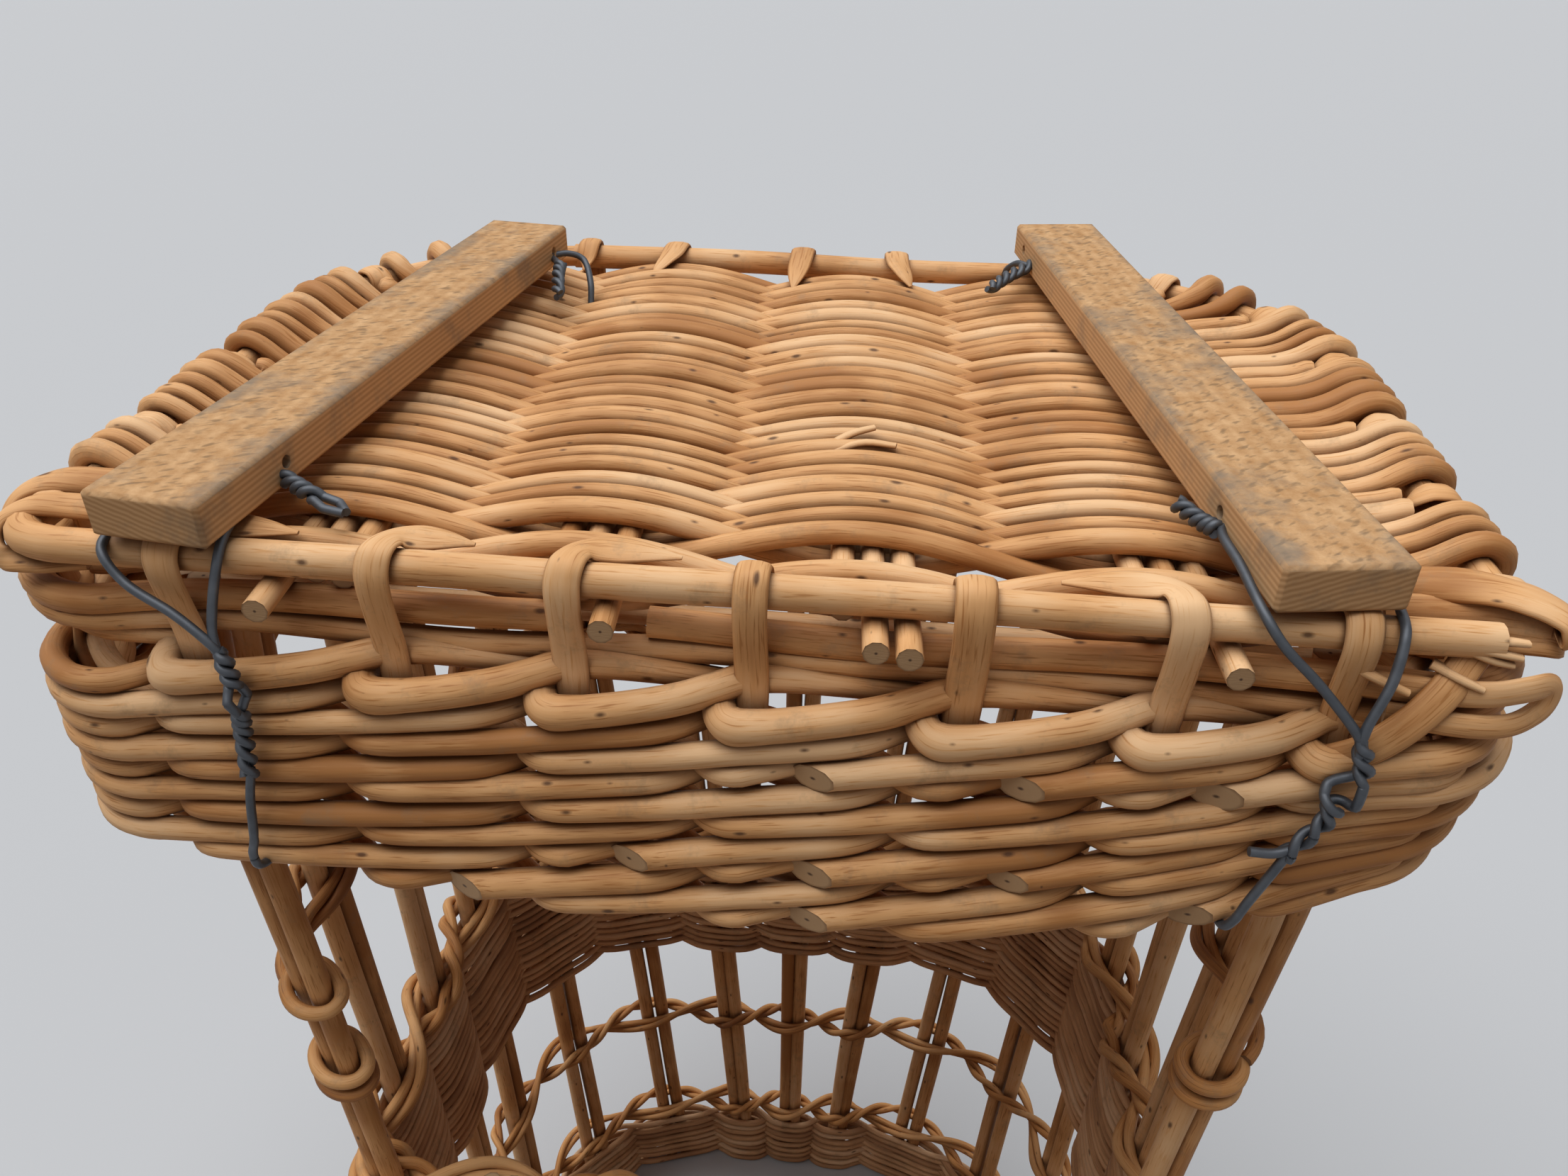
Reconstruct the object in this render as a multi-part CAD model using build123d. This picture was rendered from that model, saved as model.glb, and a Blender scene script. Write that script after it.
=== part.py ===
from build123d import *
import os
from math import cos, floor, pi, radians, sin, tan

# Wicker hamper with a lift-off lid, standing on its round mouth as it is seen from the front.
# Lid: a woven panel with a deep woven skirt, and two wooden battens wired across its top.
# Body: pairs of stakes that lean in towards the mouth, tied by twined bands, a dense belt and a rim.
# Working frame in mm: X to the right, Y to the back from the front stick, Z up from the floor.

# Overall sizes
panel_height = 685.0  # floor to the top of the woven panel
panel_width = 442.0  # across the stakes of the skirt, at the panel
panel_depth = 303.0  # front stick to back stick, centre to centre
skirt_drop = 125.0  # panel top down to the skirt's lower edge
skirt_flare = 5.0  # how far the lower edge stands out past the panel
skirt_bow = 14.0  # how far the lower edge bows out at the middle of the front
front_corner = 24.0  # plan radius of the lid's front corners
back_corner = 115.0  # plan radius of the lid's back corners
mouth_width = 330.0  # across the stakes at the floor
mouth_depth = 236.0
mouth_corner = 118.0  # plan radius of the mouth's back corners
body_front_corner = 26.0

# Willow sizes
stick_d = 10.0  # frame sticks round the panel
warp_d = 8.0  # panel sticks that run front to back
weft_d = 8.6  # panel rods that run left to right
weaver_d = 8.6  # skirt rods
stake_d = 9.0  # body stakes, laid in pairs
twine_d = 6.0  # rods of the twined bands
weave_wall = 2.8  # each face of the dense belt and rim
flat_stake_width = 9.5  # flattened stakes that wrap over the frame sticks
flat_stake_thick = 3.0
gap = 0.3  # between rods that touch
rod_room = 1.0  # between neighbouring skirt rods, and between neighbouring panel rods
weave_room = 1.4  # between a flattened stake and the rods woven round it
stake_margin = 2.0  # straight run of a skirt rod past each edge of a flattened stake
twine_room = 1.3  # between a pair of stakes and the rods twined round it
weave_room_at_pair = 2.5  # between the middle of a pair of stakes and the dense weave round it
weave_room_between = 0.5  # from the line of the stakes to each face of the dense weave, halfway between pairs
panel_room = 7.0  # between the ends of the panel rods and the skirt
lid_gap = 5.0  # between the skirt's inside and the body

# Counts
skirt_stakes = 24
body_pairs = 20
front_pairs = 5  # short pairs below the front opening
warp_groups = 4
sticks_per_group = 3
plain_rows = 2  # skirt rods that pass inside every stake
rod_sides = 5

# Heights above the floor
rim_height = 46.0
lower_band_height = 60.0
middle_band_height = 152.0
belt_bottom = 219.0
belt_height = 101.0
upper_band_height = 470.0

# Panel
warp_spacing = 86.0  # between the middles of neighbouring groups
warp_overhang = 13.0  # past the front stick
wrap_tail = 20.0  # flattened end of a wrapped stake, lying on the panel

# Battens and their wires
batten_width = 38.0
batten_thick = 15.0
batten_chamfer = 1.2
left_batten_edge = 50.0  # panel's left edge to the middle of the batten's front end
right_batten_edge = 54.0
left_batten_front_past = 10.0  # front end past the front stick
right_batten_front_past = 5.0
left_batten_back_past = -27.0  # back end past the back stick, or short of it if below zero
right_batten_back_past = 9.0
left_batten_turn = 6.5  # degrees, back ends lean towards the middle
right_batten_turn = -9.3
wire_d = 3.0
wire_hole_d = 4.4
front_hole = 44.0  # from the batten's front end
back_hole = 18.0  # from the batten's back end
knot_shift = 20.0  # the two ends of a front wire meet this far inside the batten's middle
knot_drop = 45.0  # and this far below the front stick
foot_shift = 30.0  # the hooked end passes under the skirt this far inside the batten's middle
hook_rise = 15.0  # and turns up this far inside the skirt

# Battens laid on the panel: middle of the front end, and length
left_batten_front = (left_batten_edge - panel_width / 2, -left_batten_front_past)
right_batten_front = (panel_width / 2 - right_batten_edge, -right_batten_front_past)
left_batten_run = left_batten_front_past + panel_depth + left_batten_back_past
left_batten_length = left_batten_run / cos(radians(left_batten_turn))
right_batten_run = right_batten_front_past + panel_depth + right_batten_back_past
right_batten_length = right_batten_run / cos(radians(right_batten_turn))

# Levels and clearances that follow
stick_r = stick_d / 2
warp_r = warp_d / 2
weft_r = weft_d / 2
weaver_r = weaver_d / 2
stake_r = stake_d / 2
twine_r = twine_d / 2
wire_r = wire_d / 2
weft_rise = warp_r + gap + weft_r
warp_level = panel_height - weft_r - weft_rise
panel_underside = warp_level - weft_rise - weft_r
stick_level = warp_level + warp_r + gap + stick_r
wrap_level = stick_level + stick_r + gap + flat_stake_thick / 2
batten_level = wrap_level + flat_stake_thick / 2 + gap
skirt_bottom = panel_height - skirt_drop
row_pitch = weaver_d + rod_room
first_row = warp_level - warp_r - gap - weaver_r
skirt_rows = floor((first_row - weaver_r - skirt_bottom) / row_pitch) + 1
weave_offset = flat_stake_thick / 2 + weave_room + weaver_r
skirt_half = weave_offset + weaver_r
body_inset = skirt_half + lid_gap + stake_r
stake_top = panel_underside - gap
belt_top = belt_bottom + belt_height
twine_offset = stake_r + twine_room + twine_r
pair_half = stake_r + gap / 2


# Plan outlines: straight front that may bow, rounded corners, straight sides and back
def outline(half_width, front, back, front_radius, back_radius, bow):
    return [half_width, front, back, front_radius, back_radius, bow]


def between(low, high, share):
    return [a + (b - a) * share for a, b in zip(low, high)]


def lid_plan(height):
    share = (panel_height - height) / skirt_drop
    top = outline(panel_width / 2, 0, panel_depth, front_corner, back_corner, 0)
    low = outline(
        panel_width / 2 + skirt_flare,
        -skirt_flare,
        panel_depth + skirt_flare,
        front_corner + skirt_flare,
        back_corner + skirt_flare,
        skirt_bow,
    )
    return between(top, low, share)


def inset(plan, amount):
    half, front, back, front_radius, back_radius, bow = plan
    front_radius = max(front_radius - amount, body_front_corner)
    return outline(half - amount, front + amount, back - amount, front_radius, back_radius - amount, 0)


shoulder = inset(lid_plan(skirt_bottom), body_inset)
brow = inset(lid_plan(panel_height), body_inset)
mouth = outline(
    mouth_width / 2, shoulder[1], shoulder[1] + mouth_depth, body_front_corner, mouth_corner, 0
)


def body_plan(height):
    if height > skirt_bottom:
        return between(shoulder, brow, (height - skirt_bottom) / (stake_top - skirt_bottom))
    return between(mouth, shoulder, height / skirt_bottom)


right_front = 0  # first and last of the nine runs round a plan
left_front = 8


def runs(plan):
    half, front, back, front_radius, back_radius, bow = plan
    front_half = half - front_radius
    side = back - front - front_radius - back_radius
    back_half = half - back_radius
    corner = pi / 2 * front_radius
    rear = pi / 2 * back_radius
    return [front_half, corner, side, rear, 2 * back_half, rear, side, corner, front_half]


def locate(share, plan):
    lengths = runs(plan)
    left = (share % 1.0) * sum(lengths)
    for index, length in enumerate(lengths):
        if left < length or index == len(lengths) - 1:
            return index, left / length
        left -= length


def spot(place, plan, offset=0.0):
    index, t = place
    half, front, back, front_radius, back_radius, bow = plan
    edge = half - front_radius
    if index in (right_front, left_front):
        x = edge * t if index == right_front else edge * (t - 1)
        normal = Vector(2 * bow * x / edge**2, -1).normalized()
        return Vector(x, front - bow * (1 - (x / edge) ** 2)) + normal * offset
    if index in (1, 7):
        angle = radians(-90 + 90 * t if index == 1 else 180 + 90 * t)
        centre = Vector(edge if index == 1 else -edge, front + front_radius)
        return centre + Vector(cos(angle), sin(angle)) * (front_radius + offset)
    if index in (3, 5):
        angle = radians(90 * t if index == 3 else 90 + 90 * t)
        centre = Vector((half - back_radius) * (1 if index == 3 else -1), back - back_radius)
        return centre + Vector(cos(angle), sin(angle)) * (back_radius + offset)
    if index == 4:
        return Vector((half - back_radius) * (1 - 2 * t), back + offset)
    low, high = front + front_radius, back - back_radius
    y = low + (high - low) * (t if index == 2 else 1 - t)
    return Vector((half + offset) * (1 if index == 2 else -1), y)


def on_front_corner(share, reference):
    return locate(share, reference)[0] in (1, 7)


def at(share, reference, plan, height, offset=0.0):
    point = spot(locate(share, reference), plan, offset)
    return Vector(point.X, point.Y, height)


# Rods: a flat-sided section carried along straight runs with mitred corners
def round_profile(radius, sides=rod_sides):
    angles = [2 * pi * (i + 0.5) / sides for i in range(sides)]
    return [(radius * cos(a), radius * sin(a)) for a in angles]


def flat_profile(width, thick):
    u, v = width / 2, thick / 2
    return [(-u, -v), (u, -v), (u, v), (-u, v)]


def bar(points, profile, side=Vector(0, 0, 1)):
    rings = carried(points, profile, side)
    caps = [Face(Wire.make_polygon(rings[0])), Face(Wire.make_polygon(rings[-1]))]
    return Solid(Shell(caps + walls(rings)))


def hoop(points, profile):
    middle = (points[0] + points[-1]) / 2
    rings = carried([middle, *points, middle], profile, Vector(0, 0, 1))
    return Solid(Shell(walls(rings[:-1] + rings[:1])))


def carried(points, profile, side):
    headings = [(b - a).normalized() for a, b in zip(points, points[1:])]
    other = headings[0].cross(side).normalized()
    side = other.cross(headings[0])
    rings = [[points[0] + side * u + other * v for u, v in profile]]
    for i, heading in enumerate(headings):
        last = i == len(headings) - 1
        normal = heading if last else (heading + headings[i + 1]).normalized()
        end = points[i + 1]
        slide = [(end - p).dot(normal) / heading.dot(normal) for p in rings[-1]]
        rings.append([p + heading * s for p, s in zip(rings[-1], slide)])
    return rings


def walls(rings):
    faces = []
    for low, high in zip(rings, rings[1:]):
        for i in range(len(low)):
            j = (i + 1) % len(low)
            faces.append(Face(Wire.make_polygon([low[i], low[j], high[j], high[i]])))
    return faces


nodes = {}


def keep(name, *solids):
    nodes[name] = solids


# Skirt: rods that pass in front of two stakes and behind the third, one stake further on each row
skirt_reference = lid_plan(panel_height)
stake_flat = (flat_stake_width / 2 + stake_margin) / sum(runs(skirt_reference))


def skirt_rod(row, first, last):
    height = first_row - row * row_pitch
    plan = lid_plan(height)
    points = []
    for k in range(first, last + 1):
        place = 0 if row < plain_rows else (k + row) % 3
        offset = weave_offset if place else -weave_offset
        share = k / skirt_stakes
        half_space = 0.5 / skirt_stakes
        steps = [[-stake_flat, stake_flat], [-stake_flat, half_space], [stake_flat]][place]
        if row < plain_rows:
            steps = [0]
        elif k in (first, last):
            steps = [0, stake_flat] if k == first else [-stake_flat, 0]
        elif on_front_corner(share, skirt_reference):
            steps = [-stake_flat, 0, stake_flat] + [half_space] * (place == 1)
        points += [at(share + s, skirt_reference, plan, height, offset) for s in steps]
    return bar(points, round_profile(weaver_r))


for row in range(skirt_rows):
    first = -row % 3
    half_way = first + skirt_stakes // 2
    rods = [skirt_rod(row, first, half_way), skirt_rod(row, half_way, first + skirt_stakes)]
    keep(f"skirt_row_{row + 1:02d}", *rods)


# Frame sticks round the panel
def edge_stick(first, last, steps):
    shares = [first + (last - first) * i / steps for i in range(steps + 1)]
    points = [at(s, skirt_reference, skirt_reference, stick_level) for s in shares]
    return bar(points, round_profile(stick_r, 8))


front_end = panel_width / 2 + stick_r
front_points = [Vector(-front_end, 0, stick_level), Vector(front_end, 0, stick_level)]
keep("front_stick", bar(front_points, round_profile(stick_r, 8)))
lengths = runs(skirt_reference)
total = sum(lengths)
side_start = (lengths[0] + lengths[1]) / total
back_start = (sum(lengths[:3]) + 0.6 * lengths[3]) / total
butt = stick_r / total
keep("side_stick_right", edge_stick(side_start, back_start - butt, 6))
keep("back_stick", edge_stick(back_start + butt, 1 - back_start - butt, 8))
keep("side_stick_left", edge_stick(1 - back_start + butt, 1 - side_start, 6))


# Panel sticks, in groups of three that run front to back under the frame sticks
warp_middles = [warp_spacing * (i - (warp_groups - 1) / 2) for i in range(warp_groups)]
warp_step = warp_d + gap
group_half = (sticks_per_group - 1) / 2 * warp_step + warp_r
front_count = 3  # wrapped stakes each side of the middle of the front
front_wraps = [at(k / skirt_stakes, skirt_reference, skirt_reference, 0).X for k in range(front_count + 1)]
wrap_clear = flat_stake_width / 2 + warp_r + gap
for number, middle in enumerate(warp_middles):
    sticks = []
    for i in range(sticks_per_group):
        x = middle + (i - (sticks_per_group - 1) / 2) * warp_step
        clear = all(abs(abs(x) - wrap) > wrap_clear for wrap in front_wraps)
        start = Vector(x, -warp_overhang if clear else -stick_r + gap, warp_level)
        end = Vector(x, panel_depth + stick_r / 2, warp_level)
        sticks.append(bar([start, end], round_profile(warp_r)))
    keep(f"warp_group_{number + 1}", *sticks)


# Panel rods, over one group and under the next
def half_width_at(y, margin):
    half, front, back, front_radius, back_radius, bow = skirt_reference
    past = y - (back - back_radius)
    if past <= 0:
        return half - margin
    return half - back_radius + ((back_radius - margin) ** 2 - past**2) ** 0.5


weft_pitch = weft_d + rod_room
weft_start = front_corner
weft_count = floor((panel_depth - 2 * weft_start) / weft_pitch) + 1


def weft(number):
    y = weft_start + number * weft_pitch
    reach = half_width_at(y + weft_r, skirt_half + panel_room)
    points = []
    for i, middle in enumerate(warp_middles):
        rise = weft_rise if (i + number) % 2 else -weft_rise
        level = warp_level + rise
        points += [(middle - group_half, level), (middle + group_half, level)]
    points = [p for p in points if abs(p[0]) < reach - weft_d]
    points = [(-reach, points[0][1])] + points + [(reach, points[-1][1])]
    return bar([Vector(x, y, z) for x, z in points], round_profile(weft_r))


keep("panel_weft_odd", *[weft(i) for i in range(0, weft_count, 2)])
keep("panel_weft_even", *[weft(i) for i in range(1, weft_count, 2)])


# Flattened stakes: a tail on the panel, a wrap over the frame stick, then down inside the skirt's weave
def wrapped_stake(k):
    share = k / skirt_stakes
    inner = at(share, skirt_reference, skirt_reference, 0, -1)
    outer = at(share, skirt_reference, skirt_reference, 0, 1)
    outward = (outer - inner).normalized()
    along = Vector(-outward.Y, outward.X)
    reach = stick_r + gap + flat_stake_thick / 2
    bend = reach * tan(pi / 8)
    top = at(share, skirt_reference, skirt_reference, 0)
    last_plain = first_row - (plain_rows - 1) * row_pitch
    tuck = last_plain - weaver_r
    tucked = at(share, skirt_reference, lid_plan(tuck), tuck)
    foot = at(share, skirt_reference, lid_plan(skirt_bottom), skirt_bottom)
    points = [
        top - outward * wrap_tail + Vector(0, 0, wrap_level),
        top + outward * bend + Vector(0, 0, wrap_level),
        top + outward * reach + Vector(0, 0, stick_level + bend),
        top + outward * reach + Vector(0, 0, last_plain),
        tucked,
        foot,
    ]
    return bar(points, flat_profile(flat_stake_width, flat_stake_thick), along)


side_count = skirt_stakes // 4
keep("front_wraps", *[wrapped_stake(k) for k in range(-front_count, front_count + 1)])
keep("right_wraps", *[wrapped_stake(k) for k in range(front_count + 1, front_count + side_count)])
back_first = front_count + side_count
keep("back_wraps", *[wrapped_stake(k) for k in range(back_first, skirt_stakes - back_first + 1)])
left_first = skirt_stakes - back_first + 1
keep("left_wraps", *[wrapped_stake(k) for k in range(left_first, skirt_stakes - front_count)])


# Battens: sawn bars laid across the panel, each with two cross holes for its wires
def batten_spot(front, turn, along, across, height):
    angle = radians(turn)
    x = front[0] + along * sin(angle) + across * cos(angle)
    y = front[1] + along * cos(angle) - across * sin(angle)
    return Vector(x, y, height)


hole_level = batten_level + batten_thick / 2


def batten(front, turn, length):
    block = Box(batten_width, length, batten_thick, align=(Align.CENTER, Align.MIN, Align.MIN))
    block = chamfer(block.edges(), batten_chamfer)
    hole = Rot(0, 90, 0) * Cylinder(wire_hole_d / 2, 2 * batten_width, rotation=(0, 0, 0))
    for along in (front_hole, length - back_hole):
        block -= Pos(0, along, batten_thick / 2) * hole
    return Pos(front[0], front[1], batten_level) * Rot(0, 0, -turn) * block.solid()


keep("batten_left", batten(left_batten_front, left_batten_turn, left_batten_length))
keep("batten_right", batten(right_batten_front, right_batten_turn, right_batten_length))


# Tie wires: through a batten, down over a frame stick, and at the front on down the skirt to its lower edge
wire_stand = skirt_half + wire_r + weave_room
wrap_stand = stick_r + gap + flat_stake_thick + weave_room + wire_r
wire_bend = wrap_stand * tan(pi / 8)
wire_top = stick_level + wrap_stand
side_half = batten_width / 2 + wire_r + gap


def skirt_face(x, height, offset):
    plan = lid_plan(height)
    t = x / (plan[0] - plan[3])
    point = spot((right_front, t) if x > 0 else (left_front, 1 + t), plan, offset)
    return Vector(point.X, point.Y, height)


def beside(front, turn, hand, y, height):
    along = (y - front[1]) / cos(radians(turn))
    return batten_spot(front, turn, along, hand * side_half, height)


def front_strand(front, turn, hand):
    over = beside(front, turn, hand, -stick_r / 2, wire_top)
    return [over, Vector(over.X, -wrap_stand, stick_level)]


def front_wire(front, turn, inward):
    knot_x = front[0] + inward * knot_shift
    foot_x = front[0] + inward * foot_shift
    under = skirt_bottom - wire_d
    knot = skirt_face(knot_x, stick_level - knot_drop, wire_stand)
    hook = skirt_face(foot_x, under, -wire_stand)
    points = [
        Vector(hook.X, hook.Y, skirt_bottom + hook_rise),
        hook,
        skirt_face(foot_x, under, wire_stand),
        knot,
        *reversed(front_strand(front, turn, inward)),
        batten_spot(front, turn, front_hole, inward * side_half, hole_level),
        batten_spot(front, turn, front_hole, -inward * side_half, hole_level),
        *front_strand(front, turn, -inward),
        knot + Vector(-inward * wire_d, -wire_d, wire_d),
    ]
    return bar(points, round_profile(wire_r), Vector(1, 0, 0))


def back_edge(x):
    half, front, back, front_radius, back_radius, bow = skirt_reference
    past = max(abs(x) - (half - back_radius), 0)
    return back - back_radius + (back_radius**2 - past**2) ** 0.5


def back_strand(front, turn, hand):
    far = beside(front, turn, hand, panel_depth + wrap_stand, 0)
    edge = back_edge(far.X)
    over = beside(front, turn, hand, edge + wire_bend, wire_top)
    behind = Vector(far.X, edge + wrap_stand, stick_level + wire_bend)
    return [over, behind, behind + Vector(-hand * wire_d, 0, -wrap_stand)]


def back_wire(front, turn, length, inward):
    points = [
        *reversed(back_strand(front, turn, inward)),
        batten_spot(front, turn, length - back_hole, inward * side_half, hole_level),
        batten_spot(front, turn, length - back_hole, -inward * side_half, hole_level),
        *back_strand(front, turn, -inward),
    ]
    return bar(points, round_profile(wire_r), Vector(0, 1, 0))


keep("tie_wire_front_left", front_wire(left_batten_front, left_batten_turn, 1))
keep("tie_wire_front_right", front_wire(right_batten_front, right_batten_turn, -1))
keep("tie_wire_back_left", back_wire(left_batten_front, left_batten_turn, left_batten_length, 1))
keep("tie_wire_back_right", back_wire(right_batten_front, right_batten_turn, right_batten_length, -1))


# Body stakes in pairs that lean in towards the mouth and stand straight inside the lid
body_reference = body_plan(belt_top)
pair_shares = [k / body_pairs for k in range(body_pairs)]
pair_turn = pair_half / sum(runs(body_reference))
stake_foot = 3.0


def stake_pair(k, top):
    heights = [stake_foot] + [h for h in (skirt_bottom,) if h < top] + [top]
    middle = [at(pair_shares[k], body_reference, body_plan(h), h) for h in heights]
    nearby = [at(pair_shares[k] + s, body_reference, body_reference, 0) for s in (-pair_turn, pair_turn)]
    along = (nearby[1] - nearby[0]).normalized()
    profile = round_profile(stake_r)
    return [bar([p + along * (hand * pair_half) for p in middle], profile, along) for hand in (-1, 1)]


def pairs(numbers, top):
    return [rod for k in numbers for rod in stake_pair(k, top)]


post = (front_pairs + 1) // 2
tall = list(range(post + 1, body_pairs - post))
third = len(tall) // 3
keep("corner_post_right", *pairs([post], stake_top))
keep("corner_post_left", *pairs([body_pairs - post], stake_top))
keep("right_stakes", *pairs(tall[:third], stake_top))
keep("back_stakes", *pairs(tall[third : len(tall) - third], stake_top))
keep("left_stakes", *pairs(tall[len(tall) - third :], stake_top))
front_top = belt_top + 2 * twine_d
keep("front_stakes", *pairs([k % body_pairs for k in range(1 - post, post)], front_top))


# Twined bands: two rods, each in front of every other pair, crossing between the pairs
pair_flat = (stake_d + twine_r) / sum(runs(body_reference))


def band_points(height, first, last, phase, offset):
    plan = body_plan(height)
    points = []
    for k in range(first, last + 1):
        out = offset if (k + phase) % 2 else -offset
        share = k / body_pairs
        stops = [share - pair_flat, share, share + pair_flat]
        if not on_front_corner(share, body_reference):
            stops = [stops[0], stops[2]]
        points += [at(s, body_reference, plan, height, out) for s in stops]
    return points


twine_step = twine_d + gap


def ring_band(name, height):
    for phase, word in enumerate(("lower", "upper")):
        level = height + (phase - 0.5) * twine_step
        points = band_points(level, 0, body_pairs - 1, phase, twine_offset)
        keep(f"{name}_{word}_rod", hoop(points, round_profile(twine_r)))


ring_band("rim_band", lower_band_height)
ring_band("middle_band", middle_band_height)
ring_band("belt_border", belt_top + gap + twine_d)
for phase, word in enumerate(("lower", "upper")):
    level = upper_band_height + (phase - 0.5) * twine_step
    points = band_points(level, post, body_pairs - post, phase, twine_offset)
    keep(f"upper_band_{word}_rod", bar(points, round_profile(twine_r)))


# Dense weave: a face outside the stakes and a face inside them, drawn in to each other between the pairs
def face_loop(height, hand, thick):
    plan = body_plan(height)
    swell = stake_r + weave_room_at_pair + thick
    points = []
    for share in pair_shares:
        stops = [share - pair_flat, share, share + pair_flat]
        if not on_front_corner(share, body_reference):
            stops = [share]
        points += [at(s, body_reference, plan, height, hand * swell) for s in stops]
        halfway = share + 0.5 / body_pairs
        points.append(at(halfway, body_reference, plan, height, hand * (weave_room_between + thick)))
    return Wire.make_polygon(points)


def woven_face(bottom, top, hand):
    near, far = [
        Solid.make_loft([face_loop(bottom, hand, thick), face_loop(top, hand, thick)], ruled=True)
        for thick in (0.0, weave_wall)
    ]
    return (far - near if hand > 0 else near - far).solid()


for name, bottom, top in (("belt", belt_bottom, belt_top), ("rim", 0.0, rim_height)):
    keep(f"{name}_outer_weave", woven_face(bottom, top, 1))
    keep(f"{name}_inner_weave", woven_face(bottom, top, -1))


# Top hoop: one bent rod inside the stakes, open at the front
hoop_level = stake_top - stake_d
hoop_offset = stake_r + twine_room + weaver_r
hoop_plan = body_plan(hoop_level)
hoop_steps = body_pairs - 2 * post
hoop_shares = [(post + i) / body_pairs for i in range(hoop_steps + 1)]
hoop_points = [at(s, body_reference, hoop_plan, hoop_level, -hoop_offset) for s in hoop_shares]
keep("top_hoop", bar(hoop_points, round_profile(weaver_r)))


# Origin at the middle of the footprint, on the floor
every = Compound([solid for solids in nodes.values() for solid in solids])
box = every.bounding_box()
shift = Pos(-(box.min.X + box.max.X) / 2, -(box.min.Y + box.max.Y) / 2, 0)
print("box", box.size, "shift", shift.position)
os.makedirs("parts", exist_ok=True)
for name, solids in nodes.items():
    moved = [shift * solid for solid in solids]
    export_step(moved[0] if len(moved) == 1 else Compound(moved), f"parts/{name}.step")
print(len(nodes), "nodes,", sum(len(s) for s in nodes.values()), "solids")
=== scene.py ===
import math
from functools import partial

import bpy
import numpy as np
from mathutils import Matrix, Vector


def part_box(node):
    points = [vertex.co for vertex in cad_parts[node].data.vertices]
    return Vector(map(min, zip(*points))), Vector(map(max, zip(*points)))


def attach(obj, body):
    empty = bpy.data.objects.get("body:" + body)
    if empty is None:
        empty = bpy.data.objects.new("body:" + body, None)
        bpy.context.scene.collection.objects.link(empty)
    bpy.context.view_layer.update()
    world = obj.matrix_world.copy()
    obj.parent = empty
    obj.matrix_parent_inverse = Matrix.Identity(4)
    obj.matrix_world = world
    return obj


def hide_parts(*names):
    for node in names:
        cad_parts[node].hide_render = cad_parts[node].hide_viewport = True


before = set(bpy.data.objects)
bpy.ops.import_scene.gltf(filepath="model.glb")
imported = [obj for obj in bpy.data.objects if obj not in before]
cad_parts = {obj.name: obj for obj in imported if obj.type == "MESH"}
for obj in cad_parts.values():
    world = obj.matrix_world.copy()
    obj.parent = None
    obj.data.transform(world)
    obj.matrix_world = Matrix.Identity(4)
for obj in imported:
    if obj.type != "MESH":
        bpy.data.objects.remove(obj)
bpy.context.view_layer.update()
print("frame loaded:", len(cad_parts), "nodes")

# All shapes are worked out in mm: x to the right, y to the back from the front stick, z up from the floor.
mm = 0.001
stickLow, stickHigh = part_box("front_stick")
origin = np.array([(stickLow.x + stickHigh.x) / 2, (stickLow.y + stickHigh.y) / 2, 0.0])
dice = np.random.default_rng(7)  # one seed, so every run gives the same willow

lid = {
    "panelTop": 685.0, "width": 442.0, "depth": 303.0,
    "skirtDrop": 125.0, "flare": 5.0, "bow": 14.0,  # the skirt leans out, and bows out at the front
    "frontCorner": 24.0, "backCorner": 115.0,
    "stakes": 24, "warpLevel": 672.1, "stickLevel": 681.4,
}
body = {
    "mouthWidth": 330.0, "mouthDepth": 236.0, "mouthCorner": 118.0, "frontCorner": 26.0,
    "inset": 21.0, "stakeTop": 658.9, "pairs": 20, "beltTop": 320.0,
}
skirtBottom = lid["panelTop"] - lid["skirtDrop"]


# Plans: a straight front that may bow, four round corners, straight sides and back, as in the solids.
# A plan is half width, front, back, front and back corner radius, and bow.
def lidPlan(z):
    share = (lid["panelTop"] - np.asarray(z, float)) / lid["skirtDrop"]
    out = lid["flare"] * share
    return (lid["width"] / 2 + out, -out, lid["depth"] + out, lid["frontCorner"] + out,
            lid["backCorner"] + out, lid["bow"] * share)


def insetPlan(plan):
    half, front, back, _, backRadius, _ = plan
    inset = body["inset"]
    return (half - inset, front + inset, back - inset, np.full_like(half, body["frontCorner"]),
            backRadius - inset, np.zeros_like(half))


def bodyPlan(z):
    z = np.asarray(z, float)
    shoulder = insetPlan(lidPlan(np.full_like(z, skirtBottom)))
    brow = insetPlan(lidPlan(np.full_like(z, lid["panelTop"])))
    mouth = (body["mouthWidth"] / 2, shoulder[1], shoulder[1] + body["mouthDepth"], body["frontCorner"],
             body["mouthCorner"], 0.0)
    up = np.clip((z - skirtBottom) / (body["stakeTop"] - skirtBottom), 0, 1)
    low = np.clip(z / skirtBottom, 0, 1)
    return tuple(m + (s - m) * low + (b - s) * up for m, s, b in zip(mouth, shoulder, brow))


def runsOf(plan):
    half, front, back, frontRadius, backRadius, _ = plan
    run = [half - frontRadius, math.pi / 2 * frontRadius, back - front - frontRadius - backRadius,
           math.pi / 2 * backRadius, 2 * (half - backRadius)]
    return np.array(run + run[3::-1], float)


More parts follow.
